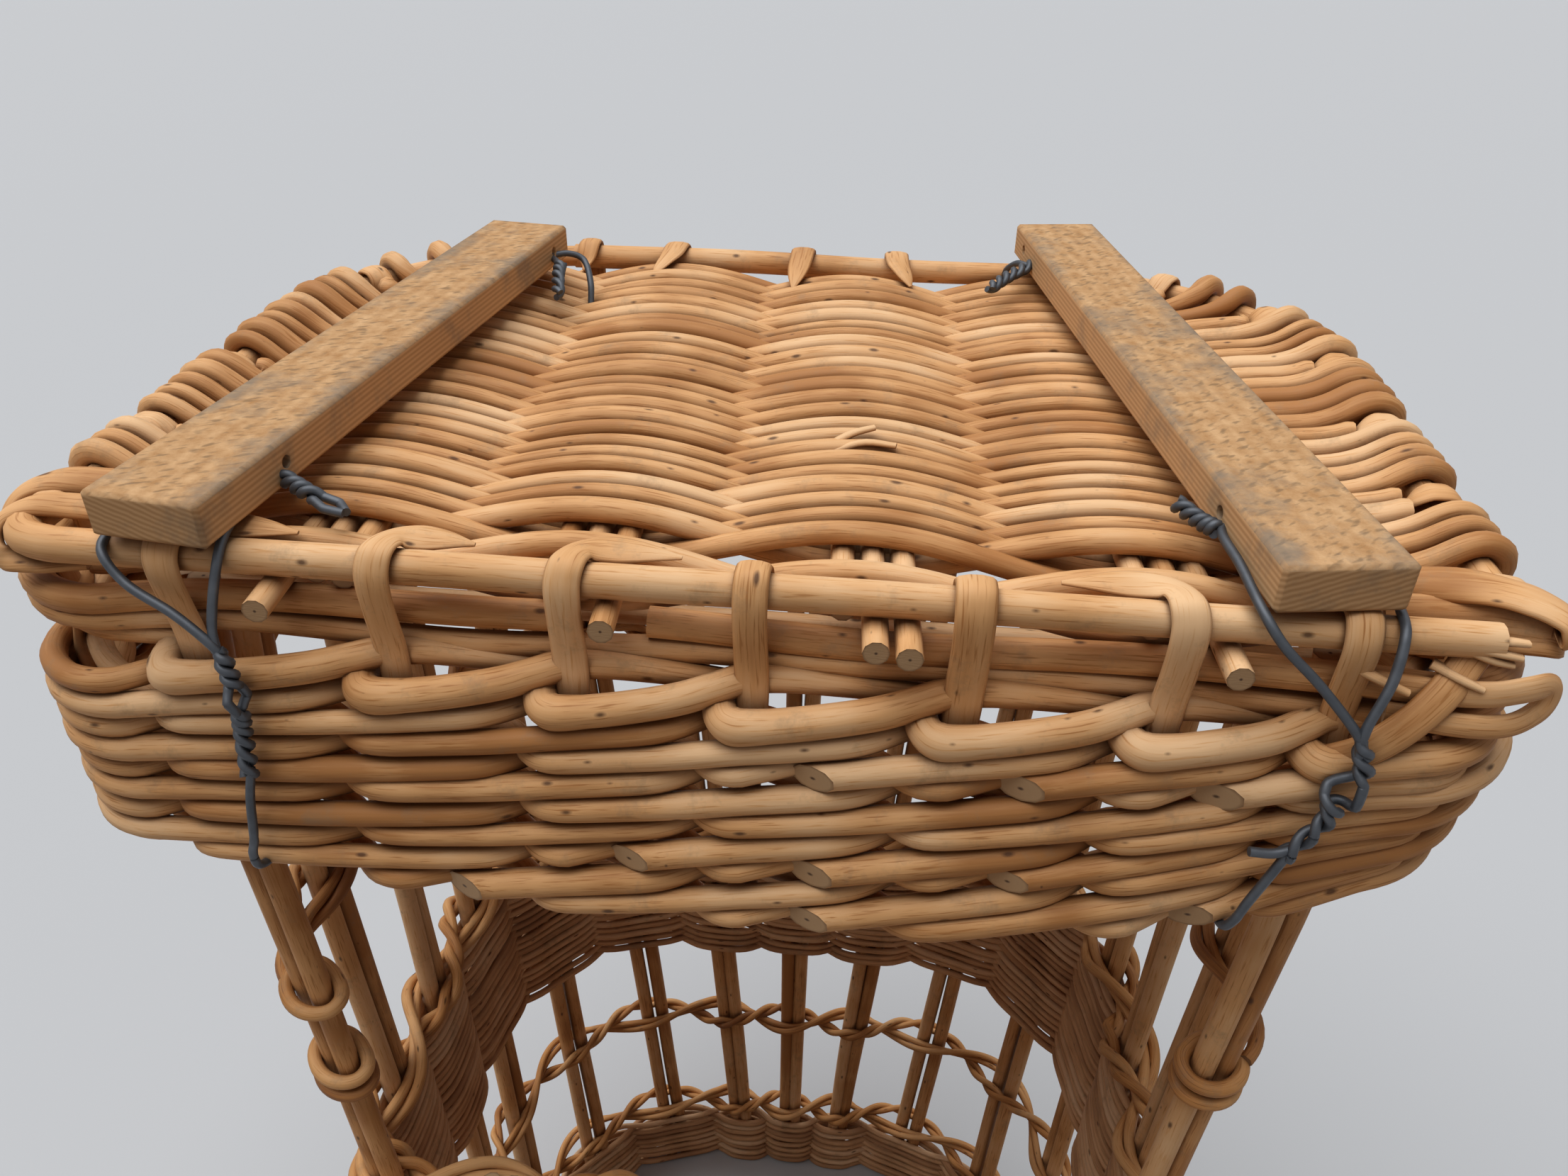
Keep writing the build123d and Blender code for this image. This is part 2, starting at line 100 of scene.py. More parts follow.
# A place is a share of the way round the reference plan, counted from the middle of the front to the right.
# The same run and the same part of that run are then found on the plan at each height.
def around(share, reference, plan, offset=0.0):
    share = np.asarray(share, float) % 1.0
    runs = runsOf(reference)
    ends = np.cumsum(runs) / runs.sum()
    run = np.minimum(np.searchsorted(ends, share, side="right"), 8)
    t = (share - (ends - runs / runs.sum())[run]) / (runs / runs.sum())[run]
    half, front, back, frontRadius, backRadius, bow = [np.broadcast_to(p, share.shape) for p in plan]
    edge = half - frontRadius
    frontX = np.where(run == 0, edge * t, edge * (t - 1))
    turn = np.radians(np.choose(run, [0, -90 + 90 * t, 0, 90 * t, 0, 90 + 90 * t, 0, 180 + 90 * t, 0]))
    cos, sin = np.cos(turn), np.sin(turn)
    side = np.where(run < 4, 1.0, -1.0)
    bowTilt = 2 * bow * frontX / edge**2
    slope = np.hypot(bowTilt, 1.0)
    normalX = np.choose(run, [bowTilt / slope, cos, 1.0, cos, 0.0, cos, -1.0, cos, bowTilt / slope])
    normalY = np.choose(run, [-1 / slope, sin, 0.0, sin, 1.0, sin, 0.0, sin, -1 / slope])
    low, high = front + frontRadius, back - backRadius
    frontY = front - bow * (1 - (frontX / edge) ** 2)
    sideY = low + (high - low) * np.where(run == 2, t, 1 - t)
    cornerX, cornerY = side * edge + normalX * frontRadius, low + normalY * frontRadius
    rearX, rearY = side * (half - backRadius) + normalX * backRadius, high + normalY * backRadius
    backX = (half - backRadius) * (1 - 2 * t)
    x = np.choose(run, [frontX, cornerX, half, rearX, backX, rearX, -half, cornerX, frontX])
    y = np.choose(run, [frontY, cornerY, sideY, rearY, back, rearY, sideY, cornerY, frontY])
    return x + normalX * offset, y + normalY * offset, normalX, normalY


lidReference = lidPlan(lid["panelTop"])
bodyReference = bodyPlan(body["beltTop"])
lidPerimeter = runsOf(lidReference).sum()
bodyPerimeter = runsOf(bodyReference).sum()


# Rods: an oval carried along a path. At each path point the ring is
# centre + wide * cos(angle) * across + thick * sin(angle) * up, with up square to the path.
# A slant pushes the upper side of the first rings along the path, so the rod starts with an oblique cut.
def unit(v):
    return v / np.maximum(np.linalg.norm(v, axis=-1, keepdims=True), 1e-9)


def rods(paths, radius, thick=None, up=(0, 0, 1), sides=10, closed=False, tone=None, slant=0.0):
    paths = np.asarray(paths, float)
    paths = paths if paths.ndim == 3 else paths[None]
    count, steps = paths.shape[:2]
    wide = np.broadcast_to(np.asarray(radius, float), (count, steps))
    thick = wide if thick is None else np.broadcast_to(np.asarray(thick, float), (count, steps))
    ahead = np.roll(paths, -1, 1) - np.roll(paths, 1, 1) if closed else np.gradient(paths, axis=1)
    along = unit(ahead)
    up = np.broadcast_to(np.asarray(up, float), paths.shape)
    up = unit(up - along * (up * along).sum(-1, keepdims=True))
    across = np.cross(along, up)
    angle = np.arange(sides) / sides * 2 * math.pi
    ring = (across[:, :, None] * (wide[..., None] * np.cos(angle))[..., None]
            + up[:, :, None] * (thick[..., None] * np.sin(angle))[..., None])
    length = np.cumsum(np.linalg.norm(np.diff(paths, axis=1, prepend=paths[:, :1]), axis=-1), axis=1)
    fade = np.clip(1 - length / (4 * wide[:, :1]), 0, 1)  # the cut is evened out over four radii
    push = slant * thick[..., None] * (1 + np.sin(angle)) * fade[..., None]
    points = paths[:, :, None] + ring + along[:, :, None] * push[..., None]
    tone = dice.random(count) if tone is None else np.broadcast_to(np.asarray(tone, float), (count,))
    return {"points": points, "length": length, "tone": tone, "closed": closed}


def inScene(name, data):
    thing = bpy.data.objects.new(name, data)
    bpy.context.scene.collection.objects.link(thing)
    return thing


# One mesh from several sets of rods. The map's u is the length over mapLength, with its own start for each
# rod, and v goes once round the rod. "tone" is the rod's own shade, "cut" is 1 on sawn or cut ends.
mapLength = 100.0  # mm
mapSpread = 37.0
mapClosing = 0.02  # u over the last step of a closed ring


def willowPiece(name, sets, material, bodyName, nodes=()):
    points, faces, maps, tones, cuts, base = [], [], [], [], [], 0
    for item in sets:
        count, steps, sides = item["points"].shape[:3]
        closed = item["closed"]
        index = np.arange(count * steps * sides).reshape(count, steps, sides) + base
        near = index if closed else index[:, :-1]
        far = np.roll(index, -1, 1) if closed else index[:, 1:]
        quads = np.stack([near, np.roll(near, -1, 2), np.roll(far, -1, 2), far], -1).reshape(-1, 4)
        u = item["length"] / mapLength + item["tone"][:, None] * mapSpread
        uNear = u if closed else u[:, :-1]
        uFar = np.concatenate([u[:, 1:], u[:, -1:] + mapClosing], 1) if closed else u[:, 1:]
        v = np.arange(sides) / sides
        grid = np.ones(near.shape)
        u4 = np.stack([uNear[..., None] * grid] * 2 + [uFar[..., None] * grid] * 2, -1)
        v4 = np.stack([v * grid, (v + 1 / sides) * grid, (v + 1 / sides) * grid, v * grid], -1)
        points.append(item["points"].reshape(-1, 3))
        faces += quads.tolist()
        maps.append(np.stack([u4, v4], -1).reshape(-1, 2))
        tones.append(np.repeat(item["tone"], steps * sides))
        cuts.append(np.zeros(count * steps * sides))
        base += count * steps * sides
        if not closed:
            capIndex = np.arange(count * 2 * sides).reshape(count, 2, sides) + base
            faces += capIndex[:, 0, ::-1].tolist() + capIndex[:, 1].tolist()
            disc = np.stack([np.cos(v * 2 * math.pi), np.sin(v * 2 * math.pi)], -1) * 0.5
            maps.append(np.tile(disc[::-1], (count, 1)))
            maps.append(np.tile(disc, (count, 1)))
            points.append(item["points"][:, [0, -1]].reshape(-1, 3))
            tones.append(np.repeat(item["tone"], 2 * sides))
            cuts.append(np.ones(count * 2 * sides))
            base += count * 2 * sides
    mesh = bpy.data.meshes.new(name)
    mesh.from_pydata((np.concatenate(points) * mm + origin).tolist(), [], faces)
    mesh.uv_layers.new(name="rodMap").data.foreach_set("uv", np.concatenate(maps).astype(np.float32).ravel())
    for label, values in (("tone", tones), ("cut", cuts)):
        layer = mesh.attributes.new(label, "FLOAT", "POINT")
        layer.data.foreach_set("value", np.concatenate(values).astype(np.float32))
    mesh.polygons.foreach_set("use_smooth", np.ones(len(mesh.polygons), bool))
    mesh.update()
    piece = inScene(name, mesh)
    piece.data.materials.append(material)
    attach(piece, bodyName)
    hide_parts(*nodes)
    print(name, len(mesh.polygons), "faces")


# A smooth curve through given points (Catmull-Rom): the tangent at a point is half the step from the point
# before it to the one after.
def through(points, steps):
    points = np.asarray(points, float)
    padded = np.concatenate([2 * points[:1] - points[1:2], points, 2 * points[-1:] - points[-2:-1]])
    place = np.linspace(0, len(points) - 1 - 1e-9, steps)
    i = place.astype(int)
    t = (place - i)[:, None]
    a, b, c, d = (padded[i + k] for k in range(4))
    return 0.5 * (2 * b + (c - a) * t + (2 * a - 5 * b + 4 * c - d) * t**2 + (3 * b - a - 3 * c + d) * t**3)


# Crookedness of a willow rod: a few slow waves of its own along the length.
def wander(count, steps, size, waves=3):
    s = np.linspace(0, 1, steps)
    turns = dice.uniform(0.5, 3.0, (count, waves, 3, 1))
    start = dice.uniform(0, 2 * math.pi, (count, waves, 3, 1))
    return (np.sin(turns * s * 2 * math.pi + start).sum(1) * size / waves).transpose(0, 2, 1)


def eased(t):
    return t * t * (3 - 2 * t)


def smoothed(rows, width):
    blur = np.hanning(width + 2)[1:-1]
    padded = np.pad(rows, ((0, 0), (width // 2, width // 2)), mode="edge")
    return np.apply_along_axis(np.convolve, 1, padded, blur / blur.sum(), "valid")


# Materials
def linear(hexText):
    c = np.array([int(hexText[i:i + 2], 16) for i in (1, 3, 5)]) / 255
    return tuple(np.where(c <= 0.04045, c / 12.92, ((c + 0.055) / 1.055) ** 2.4)) + (1.0,)


# Adds a node with its settings and its inputs, by name or in order, and hands back the output that is named,
# or else the first in use. A colour ramp's stops are its two ends, then those between them.
def addNode(tree, kind, inputs=(), output=None, stops=(), **settings):
    node = tree.nodes.new("ShaderNode" + kind)
    for key, value in settings.items():
        setattr(node, key, value)
    for key, value in inputs.items() if isinstance(inputs, dict) else enumerate(inputs):
        if isinstance(value, bpy.types.NodeSocket):
            tree.links.new(value, node.inputs[key])
        else:
            node.inputs[key].default_value = value
    for k, (position, hexText) in enumerate(stops):
        stop = node.color_ramp.elements[k] if k < 2 else node.color_ramp.elements.new(position)
        stop.position = position
        stop.color = linear(hexText)
    return node.outputs[output] if output else next((o for o in node.outputs if o.enabled), None)


def newMaterial(name):
    material = bpy.data.materials.new(name)
    material.use_nodes = True
    material.node_tree.nodes.clear()
    return material, partial(addNode, material.node_tree)


def finishMaterial(add, inputs):
    add("OutputMaterial", {"Surface": add("BsdfPrincipled", inputs)})


# Peeled and boiled willow: satin, honey brown, each rod its own shade, with fine streaks and darker hairlines
# along the rod, soft cloudy stains, greyed patches where it is worn and small dark leaf scars, with painted
# shade darkening the crevices between rods. Cut ends are greyer and dull, with a dark pith.
willowLook = {
    "streaks": (2.5, 14.0, 1.0), "hairs": (7.0, 42.0, 1.0),  # how many on mapLength, and round the rod
    "scarsRound": 2.0, "scarSize": 0.085,  # the largest scar, as a share of the scars' spacing
    "toneSwing": 0.40, "streakSwing": 0.40, "hairDark": -0.32,  # in shares of the way from dark to pale
    "cloudSize": 45.0, "wornSize": 16.0, "crevice": 7.0, "grainDepth": 0.6,  # mm
    # The crevice colour is painted shade, laid where the rods close in on each other
    "worn": "#9C8062", "scar": "#4A2B18", "paintedShade": "#5C3418", "pith": "#5A4230", "endEdge": "#8A6848",
}


def willowMaterial(name, pale, middle, dark, end, scarSpacing, paintedShadeShare):
    look = willowLook
    material, add = newMaterial(name)
    tone = add("Attribute", output="Fac", attribute_name="tone")
    cut = add("Attribute", output="Fac", attribute_name="cut")
    rodMap = add("UVMap", uv_map="rodMap")
    place = add("TexCoord", output="Object")
    streakPlace = add("Mapping", {"Vector": rodMap, "Scale": look["streaks"]})
    streak = add("TexNoise", {"Vector": streakPlace, "Scale": 1.0, "Detail": 4.0})
    hairPlace = add("Mapping", {"Vector": rodMap, "Scale": look["hairs"]})
    hair = add("TexNoise", {"Vector": hairPlace, "Scale": 1.0, "Detail": 2.0})
    cloud = add("TexNoise", {"Vector": place, "Scale": 1 / (look["cloudSize"] * mm), "Detail": 2.0})
    worn = add("TexNoise", {"Vector": place, "Scale": 1 / (look["wornSize"] * mm), "Detail": 5.0,
                            "Roughness": 0.7})
    # Each rod's shade: its own tone, the stains and the streaks, less the hairlines
    shade = add("Math", (tone, look["toneSwing"], -look["toneSwing"] / 2), operation="MULTIPLY_ADD")
    streaked = add("Math", (streak, look["streakSwing"], -look["streakSwing"] / 2), operation="MULTIPLY_ADD")
    hairMask = add("MapRange", (hair, 0.56, 0.72, 0.0, look["hairDark"]))
    for part in (cloud, streaked, hairMask):
        shade = add("Math", (shade, part), operation="ADD")
    wood = add("ValToRGB", (shade,), stops=((0.25, dark), (0.78, pale), (0.5, middle)))
    wornMask = add("MapRange", (worn, 0.56, 0.76, 0.0, 0.6))
    # Leaf scars: one to a cell, each of its own size
    scarScale = (mapLength / scarSpacing, look["scarsRound"], 1.0)
    scarPlace = add("Mapping", {"Vector": rodMap, "Scale": scarScale})
    scar = add("TexVoronoi", {"Vector": scarPlace, "Scale": 1.0}, output="Distance", voronoi_dimensions="2D")
    scarSize = add("SeparateColor", (scar.node.outputs["Color"],), output="Red")
    scarSize = add("Math", (scarSize, look["scarSize"]), operation="MULTIPLY")
    scarDepth = add("Math", (scarSize, scar), operation="SUBTRACT")
    scarMask = add("MapRange", (scarDepth, 0.0, 0.05, 0.0, 0.85))
    # Painted shade: the colour darkens where the rods close in on each other, as the ambient occlusion falls
    openness = add("AmbientOcclusion", {"Distance": look["crevice"] * mm}, output="AO", samples=6)
    paintedShadeMask = add("MapRange", (openness, 0.3, 0.85, paintedShadeShare, 0.0))
    for mask, tint in ((wornMask, "worn"), (scarMask, "scar"), (paintedShadeMask, "paintedShade")):
        wood = add("Mix", {0: mask, 6: wood, 7: linear(look[tint])}, data_type="RGBA")
    # Cut ends: the map is a disc there, so the distance from its middle gives pith, wood and rind
    fromPith = add("VectorMath", (rodMap,), output="Value", operation="LENGTH")
    endWood = add("ValToRGB", (fromPith,),
                  stops=((0.03, look["pith"]), (0.5, look["endEdge"]), (0.08, end), (0.4, end)))
    colour = add("Mix", {0: cut, 6: wood, 7: endWood}, data_type="RGBA")
    bump = add("Bump", {"Height": streak, "Strength": 0.3, "Distance": look["grainDepth"] * mm})
    rough = add("MapRange", {"Value": streak, "To Min": 0.5, "To Max": 0.72})
    finishMaterial(add, {"Base Color": colour, "Roughness": rough, "Specular IOR Level": 0.3, "Normal": bump})
    return material


# Pale, middle and dark shade, cut end, mm between leaf scars, share of painted shade in the crevices
willow = willowMaterial("boiledWillow", "#F0C595", "#E0AA72", "#B67D48", "#BE9C76", 32, 0.75)
fineWillow = willowMaterial("fineWillow", "#E2AE76", "#C98D52", "#935E34", "#8A6A4E", 30, 0.3)
# Belt and rim: a lighter, less saturated fine willow; its lightness is painted light for the basket's shade
paintedLightWillow = willowMaterial("fineWillowPaintedLight", "#F2CCA2", "#E2B080", "#B88860", "#8A6A4E", 30, 0.2)

# Sawn softwood battens: dry and dull. The broad faces are rough from the saw: mottled, with short dark dashes
# in slanting rows, and grey dirt in blotches and along the edges. The narrow sides are smoother, with year
# rings that run along the bar and show as slanting lines on the ends.
battenLook = {
    "ringWidth": 1.8, "dash": (1.9, 5.0, 4.0), "mottleSize": 8.0, "blotchSize": 30.0,  # mm
    "wornEdge": 1.6, "roughness": 0.5,  # mm: edges rubbed round, depth of the saw marks
    "sawTurn": 58.0,  # degrees
    "ringStretch": 0.05, "dirtFrom": 0.45,  # share along the bar, share of half the width
    "dark": "#AC7E50", "pale": "#DFB688", "saw": "#8A6E50", "dirt": "#84786A",
}
waveBand = 0.314  # a wave texture's bands are this far apart at a scale of 1


def battenMaterial(name, turn, ringTurn, middle, halfWidth):
    look = battenLook
    material, add = newMaterial(name)
    place = add("TexCoord", output="Object")
    straight = add("Mapping", {"Vector": place, "Rotation": (0, 0, turn)})
    ringPlace = add("Mapping", {"Vector": straight, "Scale": (1.0, look["ringStretch"], 1.0),
                                "Rotation": (0, ringTurn, 0)})
    ring = add("TexWave", {"Vector": ringPlace, "Scale": waveBand / (look["ringWidth"] * mm),
                           "Distortion": 4.0, "Detail": 3.0, "Detail Scale": 0.5},
               output="Fac", bands_direction="X")
    sawTurn = add("Mapping", {"Vector": straight, "Rotation": (0, 0, math.radians(look["sawTurn"]))})
    sawPlace = add("Mapping", {"Vector": sawTurn, "Scale": [1 / (size * mm) for size in look["dash"]]})
    saw = add("TexNoise", {"Vector": sawPlace, "Scale": 1.0, "Detail": 1.5})
    mottle = add("TexNoise", {"Vector": place, "Scale": 1 / (look["mottleSize"] * mm), "Detail": 6.0,
                              "Roughness": 0.72})
    blotch = add("TexNoise", {"Vector": place, "Scale": 1 / (look["blotchSize"] * mm), "Detail": 6.0,
                              "Roughness": 0.7})
    facing = add("SeparateXYZ", (place.node.outputs["Normal"],), output="Z")
    flat = add("Math", (facing,), operation="ABSOLUTE")
    across = add("SeparateXYZ", (straight,), output="X")
    fromMiddle = add("Math", (across, middle), operation="SUBTRACT")
    fromMiddle = add("Math", (fromMiddle,), operation="ABSOLUTE")
    edge = add("MapRange", (fromMiddle, look["dirtFrom"] * halfWidth, halfWidth, 0.0, 0.17))
    # The mottle shows on the broad faces, the year rings more on the others
    rough = add("Math", (mottle, 0.5), operation="SUBTRACT")
    rough = add("Math", (rough, flat, 0.46), operation="MULTIPLY_ADD")
    share = add("Math", (flat, -0.19, 0.27), operation="MULTIPLY_ADD")
    shade = add("Math", (ring, share, rough), operation="MULTIPLY_ADD")
    wood = add("ValToRGB", (shade,), stops=((0.28, look["dark"]), (0.78, look["pale"])))
    dash = add("MapRange", (saw, 0.55, 0.7, 0.0, 0.75))
    dash = add("Math", (dash, flat), operation="MULTIPLY")
    dirt = add("Math", (edge, flat, blotch), operation="MULTIPLY_ADD")
    dirtMask = add("MapRange", (dirt, 0.52, 0.74, 0.0, 0.75))
    for mask, tint in ((dash, "saw"), (dirtMask, "dirt")):
        wood = add("Mix", {0: mask, 6: wood, 7: linear(look[tint])}, data_type="RGBA")
    worn = add("Bevel", {"Radius": look["wornEdge"] * mm}, samples=4)
    height = add("Math", (rough, dash), operation="SUBTRACT")
    bump = add("Bump", {"Height": height, "Strength": 0.35, "Distance": look["roughness"] * mm,
                        "Normal": worn})
    finishMaterial(add, {"Base Color": wood, "Roughness": 0.85, "Specular IOR Level": 0.2, "Normal": bump})
    return material


# Annealed iron wire: dull blue grey with a faint sheen.
wireLook = {"cloudSize": 6.0, "dark": "#3A3E44", "pale": "#64686E"}


def wireMaterial(name):
    material, add = newMaterial(name)
    place = add("TexCoord", output="Object")
    cloud = add("TexNoise", {"Vector": place, "Scale": 1 / (wireLook["cloudSize"] * mm), "Detail": 3.0})
    iron = add("ValToRGB", (cloud,), stops=((0.0, wireLook["dark"]), (1.0, wireLook["pale"])))
    finishMaterial(add, {"Base Color": iron, "Metallic": 0.6, "Roughness": 0.5})
    return material


ironWire = wireMaterial("annealedIronWire")

# Camera, set as the photograph was taken: mm and degrees
view = {"place": (42.0, -290.7, 870.0), "pitch": 32.63, "yaw": -5.48, "roll": 0.88,
        "lens": 27.55, "sensor": 36.0, "near": 10.0}


def setCamera():
    data = bpy.data.cameras.new("photoCamera")
    data.lens = view["lens"]
    data.sensor_width = view["sensor"]
    data.clip_start = view["near"] * mm
    camera = inScene("photoCamera", data)
    turn = (Matrix.Rotation(math.radians(-view["yaw"]), 4, "Z")
            @ Matrix.Rotation(math.radians(90 - view["pitch"]), 4, "X")
            @ Matrix.Rotation(math.radians(view["roll"]), 4, "Z"))
    camera.matrix_world = Matrix.Translation(np.array(view["place"]) * mm + origin) @ turn
    bpy.context.scene.camera = camera


setCamera()

# Studio: pale floor under a wide soft light from above, and a weak even sky
studio = {"floor": "#BEC0C3", "floorSize": 40.0, "sky": "#E8E8EA", "skyStrength": 0.2, "backdrop": "#C4C5C8",
          "floorBounce": "#6E5A46", "lampPower": 3.0, "lampSpread": 70.0, "lampTurn": (-3.0, -14.0, 0.0)}


# 1 for light that comes straight to the camera, or by a mirror or glass, 0 for light that falls on the object
def seenDirectly(add):
    ray = add("LightPath", output="Is Camera Ray")
    mirrored = add("Math", (ray, ray.node.outputs["Is Glossy Ray"]), operation="MAXIMUM")
    return add("Math", (mirrored, ray.node.outputs["Is Transmission Ray"]), operation="MAXIMUM")


def setStudio():
    size = studio["floorSize"] / 2
    mesh = bpy.data.meshes.new("paleFloor")
    square = [(-size, -size, 0), (size, -size, 0), (size, size, 0), (-size, size, 0)]
    mesh.from_pydata(square, [], [(0, 1, 2, 3)])
    floor = inScene("paleFloor", mesh)
    material, add = newMaterial("paleCloth")  # pale to the eye, but throws back less light under the skirt
    colour = add("Mix", {0: seenDirectly(add), 6: linear(studio["floorBounce"]), 7: linear(studio["floor"])},
                 data_type="RGBA")
    finishMaterial(add, {"Base Color": colour, "Roughness": 0.9})
    mesh.materials.append(material)
    world = bpy.data.worlds.new("studioSky")
    bpy.context.scene.world = world
    world.use_nodes = True
    world.node_tree.nodes.clear()
    add = partial(addNode, world.node_tree)
    light = add("Background", {"Color": linear(studio["sky"]), "Strength": studio["skyStrength"]})
    seen = add("Background", {"Color": linear(studio["backdrop"]), "Strength": 1.0})
    add("OutputWorld", {"Surface": add("MixShader", (seenDirectly(add), light, seen))})
    data = bpy.data.lights.new("softLamp", "SUN")
    data.energy = studio["lampPower"]
    data.angle = math.radians(studio["lampSpread"])
    lamp = inScene("softLamp", data)
    lamp.location = (0, 0, 3)
    lamp.rotation_euler = [math.radians(a) for a in studio["lampTurn"]]
    bpy.context.scene.view_settings.view_transform = "Standard"


setStudio()
print("camera and studio set")

# Skirt: waling. With s the place in stakes, each rod passes in front of two stakes and behind the third, so
# its distance out and its height repeat every three stakes: out(s) and rise(s), the rise in rod thicknesses.
# Three rods follow one stake after the other, and a round of them stands two rods high.
# A row of short strokes above them catches each flat strip, and plain rods lie behind the strips at the top.
skirt = {
    "radius": 4.55, "pitch": 8.8, "firstLevel": 624.2, "samples": 24, "period": 3.0, "blur": 5,
    "place": [-0.42, -0.34, -0.27, -0.20, -0.12, 0.0, 0.5, 1.0, 1.4, 1.52, 1.62, 1.70, 1.80, 1.92, 2.1, 2.3,
              2.5, 2.58],
    "out": [-6.6, -3.6, 1.5, 5.6, 7.2, 7.5, 7.1, 6.9, 6.4, 5.2, 2.4, -1.2, -5.2, -7.2, -7.4, -7.4, -7.2,
            -6.6],
    "rise": [-0.08, -0.08, -0.08, -0.06, 0.0, 0.1, 0.5, 1.0, 1.36, 1.43, 1.47, 1.5, 1.5, 1.45, 1.1, 0.6, 0.08,
             -0.08],
    "starts": [(0, 1, 2), (12, 13, 14), (0, 1, -1), (0, 2, -2)],  # stakes where the cut ends of the rods show
    "firstPlace": 0.22, "lastPlace": 0.42, "cutSlant": 1.3,
    "buttOut": 3.0, "buttFade": 0.25,  # a rod's butt stands proud
    "tuckBefore": 0.05, "tuckLength": 0.4, "tuckIn": 7.0,  # its thin end goes in behind its own butt
    "crook": 1.1, "crookWaves": 6, "taper": (1.08, 0.9), "girth": (0.88, 1.06),
    "strokeLevel": 642.4, "strokeRadius": 5.4, "strokeSteps": 64, "strokeShift": 1.2,
    "strokeGirth": (0.94, 1.05),
    "stroke": [  # place, out, rise in mm
        (-0.19, -9.0, 1.6), (-0.185, -4.0, 0.9), (-0.17, 2.8, 0.0), (-0.11, 7.0, -0.7), (0.0, 7.8, -0.5),
        (0.3, 7.2, 2.2), (0.6, 5.0, 5.2), (0.8, 1.0, 7.2), (0.95, -3.0, 8.2), (1.15, -4.6, 8.4),
        (1.4, -5.4, 7.4), (1.7, -6.4, 5.6), (1.98, -7.4, 3.6)],
    "strokeTaper": ((-0.2, -0.1, 0.1, 0.9, 1.98), (1.0, 1.12, 1.0, 0.96, 0.62)),  # place, share of the radius
    "strokeGaps": (4, 20),  # no stroke at the front corners
    "plainRods": ((-0.6, 663.0, 5.1), (11.0, 654.6, 4.2)),  # start, height, radius
    "plainOffset": -8.2, "plainGap": 0.4, "plainSteps": 288, "plainSwell": 2.4,
    "plainRise": (1.2, 5), "plainSway": (1.0, 11),  # mm, and waves in a round
    "shiftPlaces": [-4, -3, -2, -1, 0, 1, 2, 3, 4],  # the front stakes stand off even places by these shares
    "shifts": [0.0, 0.0, 0.15, 0.13, 0.10, 0.19, 0.22, 0.08, 0.0],
    # The front corners: their places in stakes, how far they reach to either side, and from which height
    "leftCorner": -4.6, "leftReach": (2.4, 0.9), "rightCorner": 4.5, "rightReach": (1.3, 2.2),
    "swellFrom": 575.0, "swellHeight": 65.0, "leftSwell": 8.5, "rightSwell": 17.0, "rightTuck": 12.0,
    "liftReach": (2.2, 2.8), "liftFrom": 648.0, "liftHeight": 73.0, "rightLift": 23.0,
}


def inTurn(s):
    return (np.asarray(s, float) + lid["stakes"] / 2) % lid["stakes"] - lid["stakes"] / 2


def stakeShare(s):
    return (s + np.interp(inTurn(s), skirt["shiftPlaces"], skirt["shifts"])) / lid["stakes"]


# 1 at a corner, falling off as exp(-(distance / reach) ** 2), with a reach for either side
def nearCorner(s, corner, reach):
    turn = inTurn(s)
    return np.exp(-((turn - corner) / np.where(turn < corner, *reach)) ** 2)


# The rows stand out at the front corners, more at the top. At the right the lower ones are drawn in and up.
def cornerSwell(s, z):
    high = np.clip((z - skirt["swellFrom"]) / skirt["swellHeight"], 0, 1)
    left = skirt["leftSwell"] * high * nearCorner(s, skirt["leftCorner"], skirt["leftReach"])
    right = skirt["rightSwell"] * high - skirt["rightTuck"]
    return left + right * nearCorner(s, skirt["rightCorner"], skirt["rightReach"])


def cornerLift(s, z):
    low = np.clip((skirt["liftFrom"] - z) / skirt["liftHeight"], 0, 1)
    return skirt["rightLift"] * low * nearCorner(s, skirt["rightCorner"], skirt["liftReach"])


def skirtPath(s, z, out):
    out = out + cornerSwell(s, z)
    z = z + cornerLift(s, z)
    x, y, nx, ny = around(stakeShare(s), lidReference, lidPlan(z), out)
    return np.stack([x, y, z], -1), np.stack([nx, ny, np.zeros_like(nx)], -1)


def waleRods(number, starts):
    count = lid["stakes"]
    gone = np.linspace(skirt["firstPlace"], count + skirt["lastPlace"], count * skirt["samples"])
    phase = gone % skirt["period"]
    phase = np.where(phase > skirt["place"][-1], phase - skirt["period"], phase)
    out = smoothed(np.interp(phase, skirt["place"], skirt["out"])[None], skirt["blur"])
    rise = smoothed(np.interp(phase, skirt["place"], skirt["rise"])[None], skirt["blur"])
    tucked = np.clip((gone - count + skirt["tuckBefore"]) / skirt["tuckLength"], 0, 1)
    crook = wander(len(starts), len(gone), skirt["crook"], skirt["crookWaves"])[..., 2]
    z = skirt["firstLevel"] + skirt["pitch"] * (rise - 2 * number) + crook
    proud = skirt["buttOut"] * np.exp(-(gone - skirt["firstPlace"]) / skirt["buttFade"])
    start = np.array(starts, float)[:, None]
    path, face = skirtPath(start + gone, z, out - skirt["tuckIn"] * tucked + proud)
    taper = np.linspace(*skirt["taper"], len(gone)) * dice.uniform(*skirt["girth"], (len(starts), 1))
    return rods(path, skirt["radius"] * taper, up=face, slant=skirt["cutSlant"])


def strokeRods():
    knots = through(skirt["stroke"], skirt["strokeSteps"])
    places = [k for k in range(lid["stakes"]) if k not in skirt["strokeGaps"]]
    place = np.array(places, float)[:, None]
    s = place + knots[:, 0]
    shift = skirt["strokeShift"]
    z = skirt["strokeLevel"] + knots[:, 2] + dice.uniform(-shift, shift, place.shape)
    path, face = skirtPath(s, z, np.broadcast_to(knots[:, 1], s.shape))
    taper = np.interp(knots[:, 0], *skirt["strokeTaper"])
    girth = dice.uniform(*skirt["strokeGirth"], place.shape)
    return rods(path, skirt["strokeRadius"] * taper * girth, up=face)


